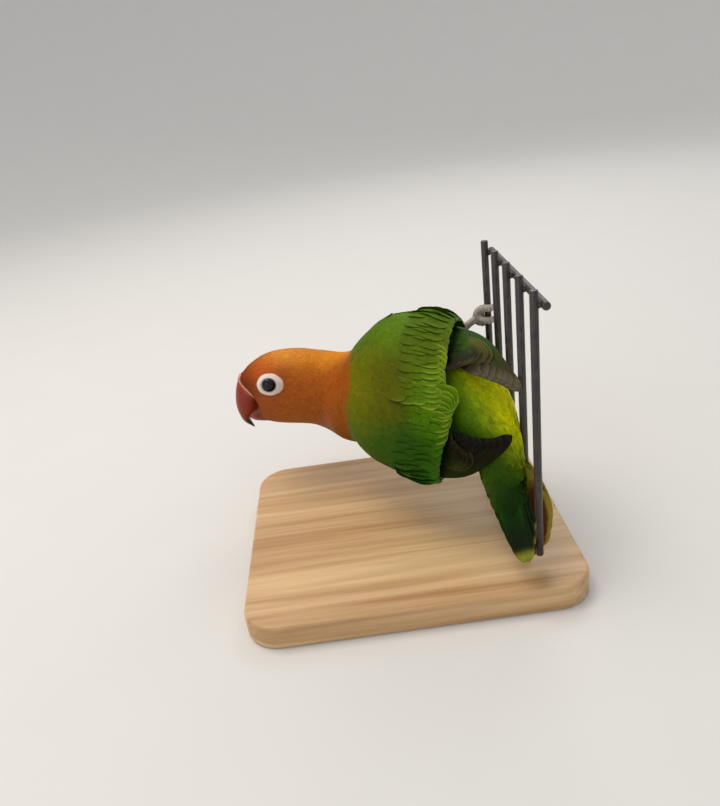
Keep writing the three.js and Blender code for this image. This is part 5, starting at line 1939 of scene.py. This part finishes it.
def backdrop_finish(colour):
    """Matt painted studio floor: an even, very slightly mottled pale surface."""
    material, tree, place_at = new_material("matt_studio_paint")
    mottle = add_node(tree, "TexNoise", {"Scale": 30, "Detail": 2}, {"Vector": place_at})
    tone = two_tones(tree, mottle, (0, [channel * 0.97 for channel in colour]), (1, colour))
    return close_material(material, {"Roughness": 0.9}, tone)


def add_backdrop():
    """A round floor that is extruded outwards and up, bend by bend, with its faces towards the middle."""
    bpy.ops.object.select_all(action="DESELECT")
    bpy.ops.mesh.primitive_circle_add(vertices=96, radius=STUDIO["floor"])
    backdrop = bpy.context.object
    backdrop.name = backdrop.data.name = "backdrop"
    bpy.ops.object.mode_set(mode="EDIT")
    bpy.ops.mesh.select_all(action="SELECT")
    reach, rise = STUDIO["floor"], 0.0
    for t in np.linspace(0, STUDIO["slope"], STUDIO["bends"] + 1)[1:]:
        wider = STUDIO["floor"] + STUDIO["curve"] * math.sin(t)
        higher = STUDIO["curve"] * (1 - math.cos(t))
        bpy.ops.mesh.extrude_region_move(TRANSFORM_OT_translate={"value": (0, 0, higher - rise)})
        bpy.ops.transform.resize(value=(wider / reach, wider / reach, 1), center_override=(0, 0, higher))
        reach, rise = wider, higher
    bpy.ops.mesh.select_all(action="DESELECT")
    shape = bmesh.from_edit_mesh(backdrop.data)
    for edge in shape.edges:
        edge.select = max(abs(vert.co.z) for vert in edge.verts) < 1e-6
    bmesh.update_edit_mesh(backdrop.data)
    bpy.ops.mesh.edge_face_add()
    bpy.ops.mesh.select_all(action="SELECT")
    bpy.ops.mesh.normals_make_consistent(inside=True)
    bpy.ops.object.mode_set(mode="OBJECT")
    bpy.ops.object.shade_smooth_by_angle(angle=math.radians(30))
    return backdrop


def add_camera():
    """The photo's view, with its angle of view from the photo's height in pixels."""
    bpy.ops.object.camera_add(location=CAMERA_PLACE)
    camera = bpy.context.object
    right, up, ahead = (np.array(axis) for axis in CAMERA_AXES)
    turn = Matrix(np.column_stack([right, up, -ahead]).tolist())
    camera.matrix_world = Matrix.Translation(CAMERA_PLACE) @ turn.to_4x4()
    camera.data.sensor_fit = "VERTICAL"
    camera.data.sensor_height = SENSOR
    camera.data.lens = SENSOR * CAMERA_FOCAL_PIXELS / PHOTO_HEIGHT
    camera.data.clip_start = 0.01
    return camera


class LOVEBIRD_OT_stage(bpy.types.Operator):
    """Sets up the floor that curves up into a backdrop, the soft lights, the camera and the view"""

    bl_idname = "lovebird.stage"
    bl_label = "Stage"

    def execute(self, context):
        settings, scene = context.scene.lovebird_stage, context.scene
        settle(add_backdrop(), backdrop_finish(settings.floor))
        for name, (location, size, colour) in LIGHTS.items():
            add_area(f"{name}_light", location, size, getattr(settings, f"{name}_power"), colour)
        scene.world = bpy.data.worlds.new("studio")
        scene.world.use_nodes = True
        background = scene.world.node_tree.nodes["Background"]
        background.inputs["Color"].default_value = SKY_COLOUR
        background.inputs["Strength"].default_value = SKY_STRENGTH
        scene.camera = add_camera()
        scene.view_settings.view_transform = "Standard"
        scene.view_settings.look = "None"
        return {"FINISHED"}


# The add-on

SETTINGS = {
    "lovebird_plumage": LovebirdPlumage, "lovebird_colours": LovebirdColours, "lovebird_stage": LovebirdStage,
}
STEPS = (
    LOVEBIRD_OT_skin, LOVEBIRD_OT_coat, LOVEBIRD_OT_wings, LOVEBIRD_OT_tail, LOVEBIRD_OT_bill,
    LOVEBIRD_OT_eyes, LOVEBIRD_OT_feet, LOVEBIRD_OT_perch, LOVEBIRD_OT_stand, LOVEBIRD_OT_stage,
)


class LOVEBIRD_PT_panel(bpy.types.Panel):
    """Lists the pieces in the order in which they are made"""

    bl_label = "Lovebird"
    bl_idname = "LOVEBIRD_PT_panel"
    bl_space_type = "VIEW_3D"
    bl_region_type = "UI"
    bl_category = "Lovebird"

    def draw(self, context):
        layout = self.layout
        for step in STEPS:
            layout.operator(step.bl_idname)
        for name, group in SETTINGS.items():
            for field in group.__annotations__:
                layout.prop(getattr(context.scene, name), field)


CLASSES = (*SETTINGS.values(), *STEPS, LOVEBIRD_PT_panel)


def register():
    for item in CLASSES:
        bpy.utils.register_class(item)
    for name, group in SETTINGS.items():
        setattr(bpy.types.Scene, name, PointerProperty(type=group))


def unregister():
    for name in SETTINGS:
        delattr(bpy.types.Scene, name)
    for item in reversed(CLASSES):
        bpy.utils.unregister_class(item)


def main():
    register()
    for step in STEPS:
        group, name = step.bl_idname.split(".")
        getattr(getattr(bpy.ops, group), name)()


if __name__ == "__main__":
    main()
